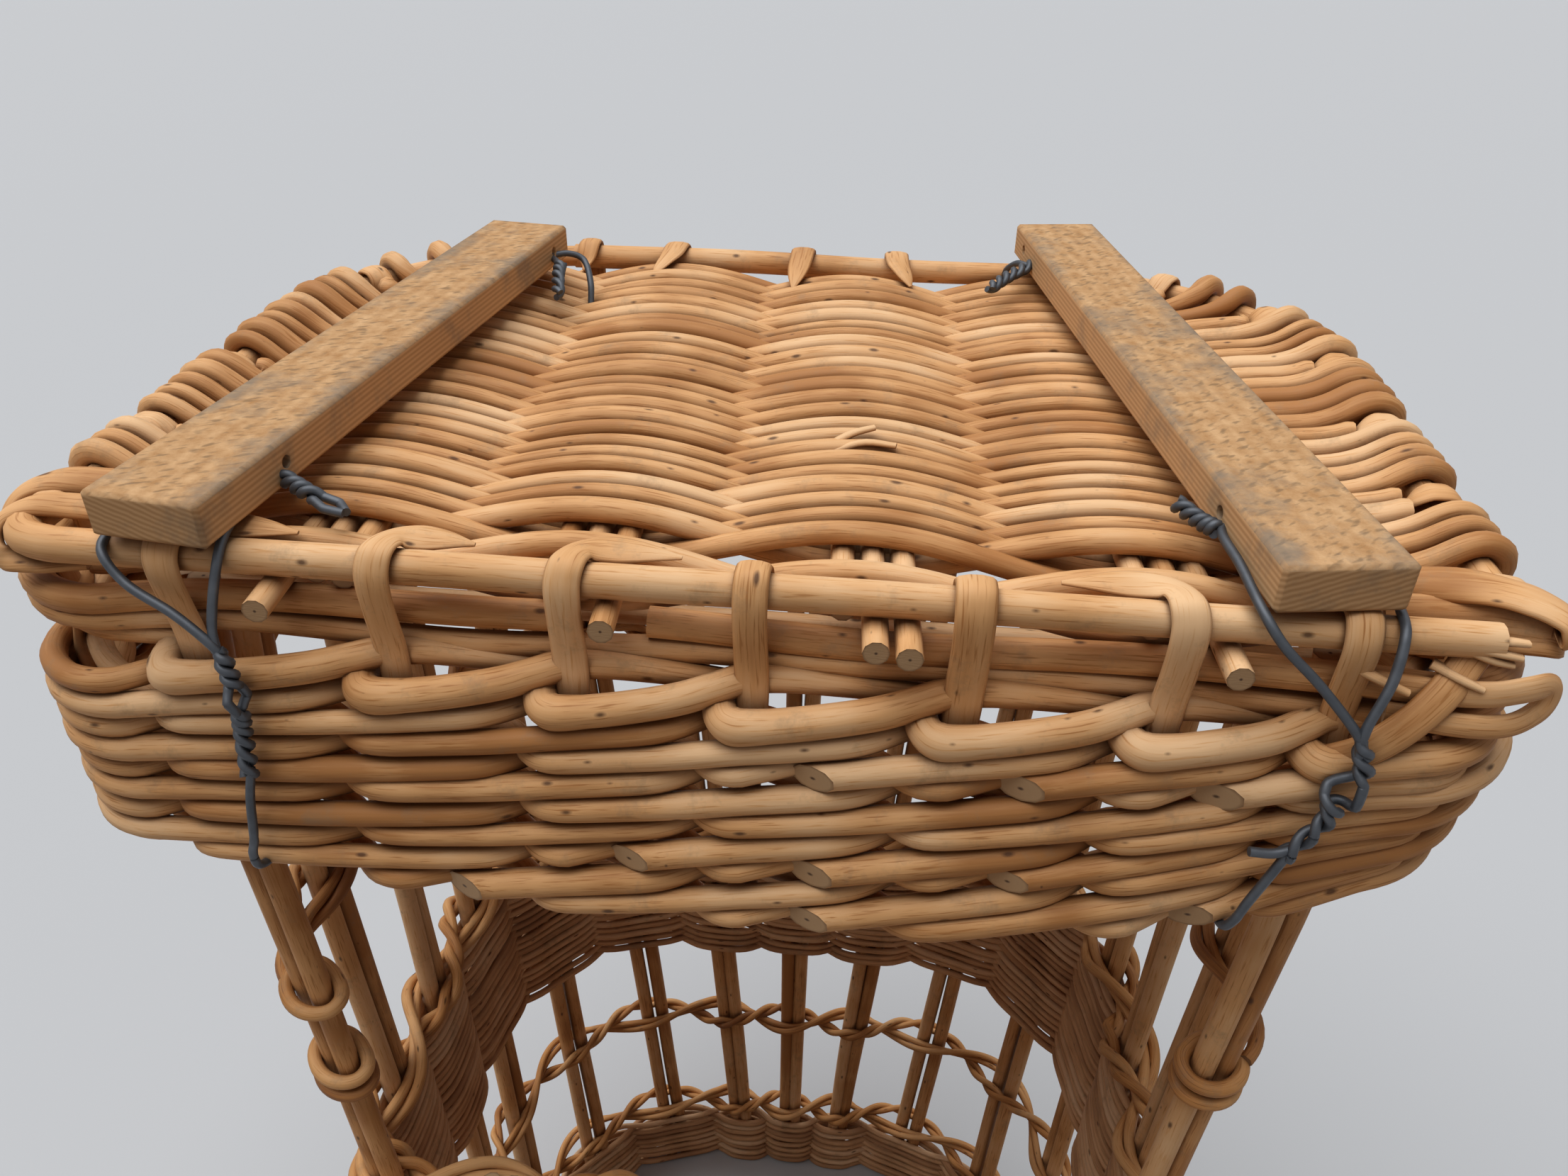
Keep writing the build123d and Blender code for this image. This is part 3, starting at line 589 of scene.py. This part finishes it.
def plainRod(start, level, radius):
    count = lid["stakes"]
    s = np.linspace(start, start + count - skirt["plainGap"], skirt["plainSteps"])
    slow = s / count * 2 * math.pi
    (rise, riseWaves), (sway, swayWaves) = skirt["plainRise"], skirt["plainSway"]
    z = level + rise * np.sin(slow * riseWaves + level)
    swell = skirt["plainSwell"] * cornerSwell(s, z)
    path, _ = skirtPath(s, z, skirt["plainOffset"] + sway * np.sin(slow * swayWaves) + swell)
    return rods(path, radius)


sets = [waleRods(number, starts) for number, starts in enumerate(skirt["starts"])]
sets += [strokeRods()] + [plainRod(*rod) for rod in skirt["plainRods"]]
willowPiece("skirtWale", sets, willow, "lid", [f"skirt_row_{i:02d}" for i in range(1, 12)])

# Panel frame: front and back sticks are bare willow, the side sticks bend round the back corners.
# The front stick turns back in an elbow at its left end.
sticks = {
    "radius": 5.5, "sideRadius": 5.0, "taper": (1.06, 0.96), "tone": 0.85,
    "backReach": 124.0, "backCrook": 0.9, "frontSteps": 120, "backSteps": 70, "sideSteps": 80,
    "front": [(-223, 24, 683.2), (-223.5, 12, 683), (-220.5, 3, 682.4), (-212, -0.4, 681.8),
              (-196, -0.4, 681.4), (-120, 0.6, 681.2), (-40, -0.5, 681.6), (40, 0.5, 681.2),
              (120, -0.4, 681.5), (213, 0, 681.4)],
    "sides": (("rightSideStick", 4.05, 10.0, "side_stick_right"),
              ("leftSideStick", 14.0, 19.9, "side_stick_left")),
}


def frameSticks():
    level, depth, reach = lid["stickLevel"], lid["depth"], sticks["backReach"]
    back = np.linspace((-reach, depth, level), (reach, depth, level), sticks["backSteps"])
    back = back + wander(1, sticks["backSteps"], sticks["backCrook"])[0]
    for name, path, node in (("frontStick", through(sticks["front"], sticks["frontSteps"]), "front_stick"),
                             ("backStick", back, "back_stick")):
        radius = sticks["radius"] * np.linspace(*sticks["taper"], len(path))
        stick = rods(path, radius, sides=14, tone=sticks["tone"])
        willowPiece(name, [stick], willow, "lid", [node])
    for name, first, last, node in sticks["sides"]:
        share = np.linspace(first, last, sticks["sideSteps"]) / lid["stakes"]
        x, y, _, _ = around(share, lidReference, lidReference)
        path = np.stack([x, y, np.full_like(x, level)], -1)
        willowPiece(name, [rods(path, sticks["sideRadius"])], willow, "lid", [node])


frameSticks()

# Corners of the panel: at the left two flat rods loop over the elbow. At the right a wide flat rod comes off
# the panel, folds over the corner and in under the stick, a second one makes a hairpin below it, and a shaved
# strip crosses in front. The right end of the stick is split, and two splinters stand up from the panel.
# Each rod has its half widths from end to end, or at the places given, its half thickness, the way that its
# flat face looks, and its points.
corners = [
    {"wide": (4.6, 3.8), "thick": 2.2, "up": (-0.7, -0.4, 0.6),
     "points": [(-186, 11, 687.4), (-205, 11.5, 688.2), (-219, 10.5, 688.4), (-227.5, 7, 686), (-230, 2, 681),
                (-226.5, -1, 676), (-217, 1, 673.4), (-204, 5, 673)]},
    {"wide": (5.6, 4.4), "thick": 2.6, "up": (-0.7, -0.4, 0.6),
     "points": [(-184, 24, 688.6), (-204, 24, 690), (-219, 22.5, 690.4), (-228.5, 18, 688),
                (-231.5, 12, 682.5), (-228, 8, 677), (-218, 8, 674)]},
    {"wide": (4.4, 7.2, 7.0, 5.0), "places": (0, 0.4, 0.7, 1), "thick": 2.2, "up": (0.75, -0.45, 0.5),
     "points": [(184, 20, 685.5), (197, 17.5, 688), (210, 14, 689.8), (221, 9, 690), (229, 4.5, 688),
                (231.5, 2.5, 685), (229, 4, 682), (220, 6.5, 679.6), (206, 8.5, 678)]},
    {"wide": (5.6, 5.6), "thick": 1.6, "up": (0.3, -0.8, 0.5), "steps": 40,
     "points": [(186, 12, 681), (208, 10, 683), (220, 7.5, 684), (228, 5, 684.5)]},
    {"wide": (4.2, 3.6), "thick": 1.7, "up": (0.2, -0.9, 0.25),
     "points": [(176, -3.5, 667), (196, -6, 667), (211, -8, 668.6), (220, -8, 671), (227.5, -4.5, 670.4),
                (229.5, -3.5, 666), (227, -5, 661.4), (218, -9, 659), (204, -10, 659), (186, -7, 659.5)]},
    {"wide": (4.8, 5.2), "thick": 1.7, "up": (-0.2, -1, 0.4),
     "points": [(172, -10, 642), (181, -13.5, 650), (190, -13, 659), (199, -8.5, 668), (206, -2, 676),
                (209, 1, 680)]},
]
splinters = {
    "wide": (2.3, 1.5), "thick": (1.5, 1.0), "tone": 0.9, "steps": 10,
    "points": [[(204, -1, 682), (213, -2.5, 683), (219.5, -2.5, 682.6)],
               [(204, -2, 680.5), (212, -4, 680), (218, -4.4, 679)],
               [(204, -2, 679.5), (211, -4, 677.6), (216.5, -4.4, 676.6)],
               [(174, -5, 673.5), (182, -8.5, 671), (189, -10.5, 669)],
               [(196, -3, 674.5), (203, -7, 672.4), (209, -8.5, 670.4)],
               [(16, 99, 678), (27, 102, 684.5), (36, 105, 686.5)],
               [(20, 97, 679), (32, 97, 684), (44, 95, 684.5)]],
}


def cornerRods():
    sets = []
    for rod in corners:
        steps = rod.get("steps", 72)
        wide = np.interp(np.linspace(0, 1, steps), rod.get("places", (0, 1)), rod["wide"])
        sets.append(rods(through(rod["points"], steps), wide, rod["thick"], up=rod["up"], sides=12))
    for points in splinters["points"]:
        steps = splinters["steps"]
        wide, thick = np.linspace(*splinters["wide"], steps), np.linspace(*splinters["thick"], steps)
        sets.append(rods(through(points, steps), wide, thick, sides=6, tone=splinters["tone"]))
    willowPiece("cornerWraps", sets, willow, "lid")


cornerRods()

# Panel: rods from side to side over and under four groups of sticks. Height of a rod is
# warp level + sign * rise * cos(pi * (x - lean) / step), and the sign changes from rod to rod.
# Over the side stick every second rod turns down round it, apart from those where a wrap takes the room.
panel = {
    "firstRods": (15.0, 22.0), "firstSize": 0.95, "denseFrom": 39.0, "denseTo": 290.0, "rods": 46,
    "rise": 7.8, "halfWide": 4.35, "halfThick": 4.3, "thickPower": 0.7, "widthSpread": 0.30,
    "stoutShare": 0.6,
    "groupStep": 86.0, "leanFront": -6.0, "leanBack": -24.0, "groupOffset": 9.5, "warpRadius": 4.0,
    "steps": 110, "crook": 0.5, "sway": 0.9, "swayLength": 70.0,
    "turnOut": [-13.0, -8.0, -3.0, 2.0, 6.5, 8.6, 7.5, 3.5, -2.0],  # round the side stick
    "turnUp": [1.5, 6.0, 8.3, 8.2, 5.4, 0.5, -4.5, -8.0, -8.6],
    "turnSlant": [0.0, 0.0, 0.5, 1.2, 2.0, 3.0, 3.6, 4.2, 4.6],
    "turnSteps": 19, "turnTilt": 3.0, "turnGap": 3.0, "cutLength": 2.5,
    "riseReach": 5.0, "riseWidth": 11,  # steps over which a rod rises smoothly to the stick
    "wrapPlaces": [4, 5, 6, 7, 8, 9, 10], "wrapRoom": 5.5,
}


def leanAt(y):
    return panel["leanFront"] + (panel["leanBack"] - panel["leanFront"]) * y / lid["depth"]


def panelRods():
    spread, steps = panel["widthSpread"], panel["steps"]
    size = dice.uniform(1 - spread, 1 + spread * panel["stoutShare"], panel["rods"])
    apart = np.concatenate([[0], np.cumsum((size[1:] + size[:-1]) / 2)])
    dense = panel["denseFrom"] + (panel["denseTo"] - panel["denseFrom"]) * apart / apart[-1]
    y = np.concatenate([panel["firstRods"], dense])
    size = np.concatenate([[panel["firstSize"]] * len(panel["firstRods"]), size])
    sign = np.where(np.arange(len(y)) % 2 == 0, 1.0, -1.0)
    half, _, back, _, backRadius, _ = [float(p) for p in lidReference]
    down = np.clip(y - (back - backRadius), 0, backRadius - 1)
    reach = np.sqrt(backRadius**2 - down**2)
    edge = half - backRadius + reach
    outX, outY = reach / backRadius, down / backRadius
    shift = panel["groupStep"] / 2 + leanAt(y)[:, None]

    def wave(x):
        return np.cos(np.pi * (x - shift) / panel["groupStep"])

    inner = np.linspace(-1, 1, steps) * (edge + panel["turnOut"][0] - panel["turnGap"])[:, None]
    crook = wander(len(y), steps, panel["crook"])[..., 2]
    level = lid["warpLevel"] + panel["rise"] * sign[:, None] * wave(inner) + crook
    swayStart = dice.uniform(0, 6, (len(y), 1))
    pathY = y[:, None] + panel["sway"] * np.sin(inner / panel["swayLength"] + swayStart)
    middle = np.stack([inner, pathY, level], -1)
    wrapY = around(np.array(panel["wrapPlaces"]) / lid["stakes"], lidReference, lidReference)[1]
    turnKnots = np.array([panel["turnOut"], panel["turnUp"], panel["turnSlant"]]).T
    turnOut, turnUp, turnSlant = through(turnKnots, panel["turnSteps"]).T
    short = np.linspace(turnOut[0], turnOut[0] + panel["cutLength"], len(turnOut))
    turns = []
    for side, last in ((-1.0, 0), (1.0, -1)):
        over = sign * wave(side * edge[:, None])[:, 0] > 0
        free = (over & (np.abs(y[:, None] - wrapY).min(1) > panel["wrapRoom"]))[:, None]
        out = np.where(free, turnOut, short)
        height = lid["stickLevel"] + np.where(free, turnUp, turnUp[0])
        up = np.where(over[:, None], height, middle[:, last, 2][:, None])
        slant = np.where(free, turnSlant, 0.0)
        x = side * (edge[:, None] + outX[:, None] * out)
        turns.append(np.stack([x, y[:, None] + outY[:, None] * out + slant, up], -1))
    path = np.concatenate([turns[0][:, ::-1], middle, turns[1]], 1)
    ends = len(turnOut)
    step = np.arange(path.shape[1])
    rising = np.exp(-((np.minimum(step, step[::-1]) - ends) / panel["riseReach"]) ** 2)[:, None]
    path += rising * (np.stack([smoothed(path[..., k], panel["riseWidth"]) for k in range(3)], -1) - path)
    tilt = np.concatenate([np.linspace(1, 0, ends), np.zeros(steps), np.linspace(0, 1, ends)]) ** 2
    zero, one = np.zeros(path.shape[:2]), np.ones(path.shape[:2])
    up = np.stack([np.sign(path[..., 0]) * tilt * panel["turnTilt"], zero, one], -1)
    wide, thick = panel["halfWide"] * size[:, None], panel["halfThick"] * size[:, None] ** panel["thickPower"]
    for name, first, node in (("oddPanelRods", 0, "panel_weft_odd"), ("evenPanelRods", 1, "panel_weft_even")):
        rows = slice(first, None, 2)
        sets = [rods(path[rows], wide[rows], thick[rows], up=up[rows], sides=9)]
        willowPiece(name, sets, willow, "lid", [node])


panelRods()

# Warp sticks under the panel rods, three to a group. Some butts show in front of the frame stick.
warps = {"butts": ((-15, 8, 6), (7, 8, -13), (7, -14, -16), (8, 6, -14)), "shift": (0.0, -2.0, 1.0, 6.0),
         "ends": (288.0, 297.0, 297.0, 288.0), "steps": 40}


def warpSticks():
    for number, (butts, shift, end) in enumerate(zip(warps["butts"], warps["shift"], warps["ends"])):
        middle = (number - (len(warps["butts"]) - 1) / 2) * panel["groupStep"] + shift
        butt = np.array(butts, float)[:, None]
        y = butt + (end - butt) * np.linspace(0, 1, warps["steps"])
        x = middle + (np.arange(3) - 1)[:, None] * panel["groupOffset"] + leanAt(y) - leanAt(0) / 2
        path = np.stack([x, y, np.full_like(x, lid["warpLevel"])], -1)
        willowPiece(f"warpSticks{number + 1}", [rods(path, panel["warpRadius"])], willow, "lid",
                    [f"warp_group_{number + 1}"])


warpSticks()

# Wraps: each skirt stake is shaved to a strip, goes up outside the plain rods, over the frame stick, and its
# tail turns along behind the stick. Columns of the knots: out from the plan line, along it, height, half
# width, half thickness, and the way the flat face looks (out, up).
wraps = {
    "groups": {"front": range(-3, 4), "right": range(4, 9), "back": range(9, 16), "left": range(16, 21)},
    "shift": {11: 0.33, 12: 0.12, 13: 0.23},  # strips at the back stand off their stakes
    # share of the full tail length to the right; a short tail goes down behind the stick instead
    "sideWay": 0.18,
    "tailWay": {-3: 0.9, -2: 0.62, -1: 0.75, 0: 0.06, 1: -0.08, 2: -0.7, 3: -0.1, 11: -0.2, 12: 0.05,
                13: 0.2},
    "tailStart": 3.0, "shortTail": 1.6, "dive": 15.0, "diveDrop": 0.95, "diveIn": 0.3,
    "laid": (11, 12, 13), "laidDive": 0.45, "laidDrop": 0.35, "laidIn": 1.2,  # these lie on the panel
    "climbFrom": 634.0, "climbHeight": 44.0, "swellTo": 650.0, "swellHeight": 20.0,
    "lean": 2.0, "tailSpread": (0.85, 1.1), "widthSpread": (0.92, 1.08), "tones": (0.5, 0.95),
    "steps": 72,
    "knots": [
        (0, 0, 566, 3.2, 2.8, 1, 0), (0, 0, 600, 3.2, 2.8, 1, 0), (0, 0, 628, 3.8, 2.4, 1, 0),
        (0.4, 0, 644, 5.4, 1.6, 1, 0), (1.6, 0, 656, 5.7, 1.5, 1, 0.1), (4.6, 0, 668, 5.6, 1.5, 1, -0.1),
        (6.9, 0, 678, 5.6, 1.5, 1, 0.1), (6.5, 0, 684, 5.7, 1.5, 0.9, 0.45),
        (3.6, 1, 688, 5.7, 1.5, 0.5, 0.85), (-1, 2, 688.5, 5.7, 1.5, 0, 1), (-5.2, 5, 688, 5.6, 1.5, 0, 1),
        (-7.4, 11, 687.4, 5.5, 1.4, 0.2, 1), (-8.2, 21, 687, 5, 1.2, 0.35, 0.95),
        (-8.8, 33, 686.4, 3.4, 1, 0.3, 0.95), (-9, 45, 685.4, 0.8, 0.6, 0.2, 1)],
}


def wrapStrips():
    out, ahead, height, halfWide, halfThick, faceOut, faceUp = through(wraps["knots"], wraps["steps"]).T
    for group, places in wraps["groups"].items():
        place = np.array(list(places), float)[:, None]
        count = len(place)
        shift = np.array([[wraps["shift"].get(k, 0.0)] for k in places])
        climb = eased(np.clip((height - wraps["climbFrom"]) / wraps["climbHeight"], 0, 1))
        way = np.array([[wraps["tailWay"].get(k, wraps["sideWay"])] for k in places])
        lean = dice.uniform(-wraps["lean"], wraps["lean"], (count, 1)) * climb
        along = ahead * way * dice.uniform(*wraps["tailSpread"], (count, 1)) + lean
        laid = np.array([[k in wraps["laid"]] for k in places])
        depth = np.clip(ahead - wraps["tailStart"], 0, None)
        depth = np.where(laid, wraps["laidDive"] * depth, np.minimum(depth, wraps["dive"]))
        under = np.clip(1 - np.abs(way) * wraps["shortTail"], 0, 1) * depth
        share = stakeShare(place + shift * climb) + along / lidPerimeter
        z = height - np.where(laid, wraps["laidDrop"], wraps["diveDrop"]) * under
        swell = cornerSwell(place, z) * np.clip((wraps["swellTo"] - z) / wraps["swellHeight"], 0, 1)
        z = z + cornerLift(place, z)
        offset = out - np.where(laid, wraps["laidIn"], wraps["diveIn"]) * under + swell
        x, y, nx, ny = around(share, lidReference, lidPlan(np.minimum(z, lid["panelTop"])), offset)
        face = np.stack([nx * faceOut, ny * faceOut, np.broadcast_to(faceUp, share.shape)], -1)
        wide = halfWide * dice.uniform(*wraps["widthSpread"], (count, 1))
        tone = dice.uniform(*wraps["tones"], count)
        strip = rods(np.stack([x, y, z], -1), wide, halfThick, up=face, tone=tone)
        willowPiece(group + "Wraps", [strip], willow, "lid", [group + "_wraps"])


wrapStrips()

# Tie wires: single strands, and pairs of strands round one centre line, apart by a gap and turned by an angle
# that grows along it. A strand has its number of points and the points it goes through, and a pair also its
# turns and gaps, each as place and value.
gap = 1.6
evenGap = ((0, gap), (1, gap))
wires = {
    "radius": 1.5, "sight": (0.1, -1.0, 0.35),
    "frontLeftWire": ("tie_wire_front_left", [
        (70, [(-151, 31, 693.5), (-142, 25, 693), (-135, 20.5, 692.5), (-122, 14, 690.5)],
         ((0, 0), (0.75, 2.2), (1, 2.2)), ((0, gap), (0.72, gap), (0.88, 3.2), (1, 0.6))),
        (60, [(-158, 38, 695), (-153, 32, 694.5), (-152, 16, 693.5), (-153, 0, 689.5), (-153.5, -9, 681),
              (-154.5, -16, 667), (-153.5, -19, 659)]),
        (60, [(-190, 4, 687.5), (-189, -7, 685), (-181, -12, 677), (-166, -16, 670), (-155.5, -19, 663),
              (-151, -19, 656)]),
        (140, [(-152.5, -19, 660), (-150.5, -20, 649), (-149.5, -21.5, 641), (-150.5, -21.5, 632),
               (-152, -22.5, 614)],
         ((0, 0), (0.3, 1.6), (0.55, 1.75), (0.6, 1.9), (1, 4.6)),
         ((0, 0.2), (0.06, gap), (0.3, gap), (0.42, 3.6), (0.56, gap), (1, gap))),
        (60, [(-151, -22.5, 617), (-154, -23, 604), (-156, -24, 588), (-156.5, -26, 583), (-156.6, -25, 577),
              (-156.8, -19, 573), (-156.5, -10, 573)])]),
    "frontRightWire": ("tie_wire_front_right", [
        (60, [(140, 31, 694), (136, 36, 694), (131, 46, 694)], ((0, 0), (1, 2.6)), evenGap),
        (70, [(147, 34, 695), (141, 29, 694.5), (143, 12, 693.5), (146, -6, 690), (152, -13, 683),
              (163, -16, 673), (175, -19, 660), (179, -20, 652)]),
        (50, [(186, 4, 687.5), (184.5, -7, 686), (182, -14, 675), (177, -19, 662), (177, -20, 653)]),
        (140, [(176.5, -19.5, 658), (179.5, -20.5, 647), (174.5, -21.5, 638), (173, -22, 630),
               (165, -22.5, 616)],
         ((0, 0), (0.3, 1.3), (0.5, 1.5), (0.62, 1.9), (1, 3.4)),
         ((0, 0.2), (0.06, gap), (0.26, gap), (0.45, 5.0), (0.64, gap), (1, gap))),
        (24, [(167, -22.5, 619), (161, -23.5, 617.5), (154, -24, 618)]),
        (60, [(166, -22.5, 618), (162, -23.5, 608), (158, -24, 597), (156, -23.5, 589), (154.5, -20, 582.5),
              (153.5, -11, 580)])]),
    "backLeftWire": ("tie_wire_back_left", [
        (40, [(-131, 259, 695), (-124, 257, 694.5), (-117, 246, 695), (-114, 236, 693.5)]),
        (40, [(-124, 258, 695), (-116, 262, 695), (-109, 262, 692), (-104, 252, 685), (-103, 246, 676)]),
        (60, [(-116, 246, 695), (-114, 234, 693.5), (-110, 218, 690)], ((0, 0), (1, 2.4)), evenGap)]),
    "backRightWire": ("tie_wire_back_right", [
        (40, [(108, 280, 695), (101, 277, 694.5), (96, 284, 693), (92, 293, 686), (93, 298, 676)]),
        (60, [(102, 277, 694.5), (91, 261, 694), (82, 248, 692)], ((0, 0), (1, 2.8)), evenGap)]),
}


def wireStrand(steps, points, turns=None, gaps=None):
    path = through(points, steps)
    if turns:
        t = np.linspace(0, 1, steps)
        along = unit(np.gradient(path, axis=0))
        side = unit(np.cross(along, wires["sight"]))
        face = np.cross(side, along)
        angle = 2 * math.pi * np.interp(t, *zip(*turns))[:, None]
        offset = np.interp(t, *zip(*gaps))[:, None] * (side * np.cos(angle) + face * np.sin(angle))
        path = np.stack([path + offset, path - offset])
    return rods(path, wires["radius"], sides=8)


for name in ("frontLeftWire", "frontRightWire", "backLeftWire", "backRightWire"):
    node, strands = wires[name]
    willowPiece(name, [wireStrand(*strand) for strand in strands], ironWire, "lid", [node])

# Body stakes stand in pairs, lean in to the mouth and bend a little.
stakes = {
    "radius": 4.9, "apart": 4.95, "foot": 3.0, "shortTop": 332.0, "crook": 0.8,
    "taper": (0.94, 1.04), "steps": 48,
    "groups": (("cornerPostRight", [3], "corner_post_right"), ("cornerPostLeft", [17], "corner_post_left"),
               ("rightStakes", range(4, 8), "right_stakes"), ("backStakes", range(8, 13), "back_stakes"),
               ("leftStakes", range(13, 17), "left_stakes"), ("frontStakes", range(-2, 3), "front_stakes")),
}


def onBody(share, z, out=0.0):
    x, y, _, _ = around(np.broadcast_to(share, z.shape), bodyReference, bodyPlan(z), out)
    return np.stack([x, y, z], -1)


def bodyStakes():
    steps = stakes["steps"]
    for name, places, node in stakes["groups"]:
        place = np.repeat(np.array(list(places), float), 2)
        beside = np.tile([-1.0, 1.0], len(place) // 2) * stakes["apart"]
        top = stakes["shortTop"] if name == "frontStakes" else body["stakeTop"]
        z = np.broadcast_to(np.linspace(stakes["foot"], top, steps), (len(place), steps))
        path = onBody((place / body["pairs"] + beside / bodyPerimeter)[:, None], z)
        path = path + wander(len(place), steps, stakes["crook"]) * (1, 1, 0)
        radius = stakes["radius"] * np.linspace(*stakes["taper"], steps)
        willowPiece(name, [rods(path, radius, up=(0, 1, 0))], willow, "hamper_body", [node])


bodyStakes()

# Twined bands: two strands pass a pair of stakes in front and behind and change over before the next.
# With s in pairs, out = reach * cos(pi s) and height = swing * sin(pi s), and the second strand is half a
# turn later. Each strand is two thin rods turned round each other.
bands = {
    "reach": 8.6, "swing": 3.4, "thin": 2.1, "lay": 2.0, "turns": (1.5, 0.5), "samples": 24,
    "endReach": 0.5, "endOut": 5.2, "endLevels": (465.0, 458.0),
    # name, height, first and last pair, node, share of the usual thickness
    "rows": (("rimBand", 60.0, 0, 20, "rim_band", 1.0), ("middleBand", 152.0, 0, 20, "middle_band", 1.0),
             ("beltBorder", 326.3, 0, 20, "belt_border", 1.4),
             ("upperBand", 470.0, 3.2, 16.8, "upper_band", 1.3)),
}
# At the posts the upper band ends in loops round the pair, one strand thick, lower outside than inside.
bindings = {
    "strand": 3.1, "along": 13.2, "across": 8.7, "drop": 4.5, "dropTurn": 0.4, "steps": 48,
    "loops": ((17, 459.0), (17, 414.0), (17, 405.5), (3, 466.0), (3, 457.5)),  # pair, height
    "links": ((17, -12.5, 460.0, 410.0), (3, 12.5, 474.0, 460.0)),  # pair, place beside it, heights
    "linkIn": -4.0, "linkBulge": 3.0, "linkSteps": 24,
}


def bindingLoops():
    sets = []
    angle = np.linspace(0, 2 * math.pi, bindings["steps"], endpoint=False)
    for place, level in bindings["loops"]:
        z = level - bindings["drop"] * np.sin(angle + bindings["dropTurn"])
        along = bindings["along"] * np.cos(angle) / bodyPerimeter
        path = onBody(place / body["pairs"] + along, z, bindings["across"] * np.sin(angle))
        sets.append(rods(path, bindings["strand"], sides=9, closed=True))
    arch = np.sin(np.linspace(0, math.pi, bindings["linkSteps"]))
    bulge = bindings["linkIn"] + bindings["linkBulge"] * arch
    for place, along, high, low in bindings["links"]:
        z = np.linspace(high, low, bindings["linkSteps"])
        path = onBody(place / body["pairs"] + along / bodyPerimeter, z, bulge)
        sets.append(rods(path, bindings["strand"], up=(0, 1, 0), sides=9))
    return sets


def twinedBands():
    for name, level, first, last, node, stout in bands["rows"]:
        closed = last - first == body["pairs"]
        s = np.linspace(first, last, round((last - first) * bands["samples"]), endpoint=not closed)
        sets = []
        for half, turns in enumerate(bands["turns"]):
            for strand in (0, 1):
                lay = 2 * math.pi * turns * s + strand * math.pi
                swing = np.cos(math.pi * (s + half))
                out = bands["reach"] * stout**0.5 * swing + bands["lay"] * stout * np.cos(lay)
                rise = bands["swing"] * stout * np.sin(math.pi * (s + half))
                z = level + rise + bands["lay"] * stout * np.sin(lay)
                if not closed:  # the ends run into the loops at the posts
                    near = eased(np.clip(1 - np.minimum(s - first, last - s) / bands["endReach"], 0, 1))
                    out += near * (bands["endOut"] * np.sign(swing) - out)
                    z += near * (np.where(s - first < last - s, *bands["endLevels"]) - z)
                path = onBody(s / body["pairs"], z, out)
                sets.append(rods(path, bands["thin"] * stout, sides=7, closed=closed))
        sets += bindingLoops() if name == "upperBand" else []
        willowPiece(name, sets, fineWillow, "hamper_body",
                    [node + "_lower_rod", node + "_upper_rod"])


twinedBands()

# Belt and rim: rows of thin rods in front of one pair and behind the next, and the other way about in the
# next row. With s in pairs, out = reach * tanh(bend * cos(pi s)).
weave = {
    "radius": 2.3, "girth": (0.8, 1.15), "reach": 6.2, "bend": 1.6, "samples": 12,
    "rows": {"belt": (220.5, 319.0, 36), "rim": (2.4, 45.0, 16)},  # from and to height, rows
    "drift": ((0.8, 3), (0.6, 7)), "edge": 4.0,  # mm and waves in a round; the outer rows stay level
}


def denseWeave():
    s = np.linspace(0, body["pairs"], body["pairs"] * weave["samples"], endpoint=False)
    slow = 2 * math.pi * s / body["pairs"]
    for name, (low, high, rows) in weave["rows"].items():
        level = np.linspace(low, high, rows)[:, None]
        start = dice.uniform(0, 2 * math.pi, (rows, 2, 1))
        drift = sum(size * np.sin(waves * slow + start[:, k])
                    for k, (size, waves) in enumerate(weave["drift"]))
        inside = np.clip((level - low) / weave["edge"], 0, 1) * np.clip((high - level) / weave["edge"], 0, 1)
        z = level + drift * inside
        swing = np.cos(math.pi * s) * np.where(np.arange(rows) % 2 == 0, 1, -1)[:, None]
        path = onBody(s / body["pairs"], z, weave["reach"] * np.tanh(weave["bend"] * swing))
        radius = weave["radius"] * dice.uniform(*weave["girth"], (rows, 1))
        # The belt and rim take the lighter willow, painted light against the shade inside the basket
        willowPiece(name + "Weave", [rods(path, radius, sides=6, closed=True)], paintedLightWillow, "hamper_body",
                    [name + "_outer_weave", name + "_inner_weave"])


denseWeave()

# Hoop inside the stake tops
hoop = {"level": 650.0, "offset": -9.6, "radius": 3.8, "steps": 160}


def topHoop():
    s = np.linspace(0, 1, hoop["steps"], endpoint=False)
    path = onBody(s, np.full_like(s, hoop["level"]), hoop["offset"])
    ring = rods(path, hoop["radius"], sides=8, closed=True)
    willowPiece("topHoop", [ring], willow, "hamper_body", ["top_hoop"])


topHoop()

# Each batten's own turn, and the slant of its year rings, in degrees
for name, turn, ringTurn in (("batten_left", 6.5, 72.0), ("batten_right", -9.3, -72.0)):
    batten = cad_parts[name]
    turn = math.radians(turn)
    across = np.array([v.co.x * math.cos(turn) - v.co.y * math.sin(turn) for v in batten.data.vertices])
    middle, halfWidth = (across.max() + across.min()) / 2, (across.max() - across.min()) / 2
    batten.data.materials.clear()
    batten.data.materials.append(
        battenMaterial("sawnSoftwood." + name, turn, math.radians(ringTurn), middle, halfWidth))
print("battens finished")
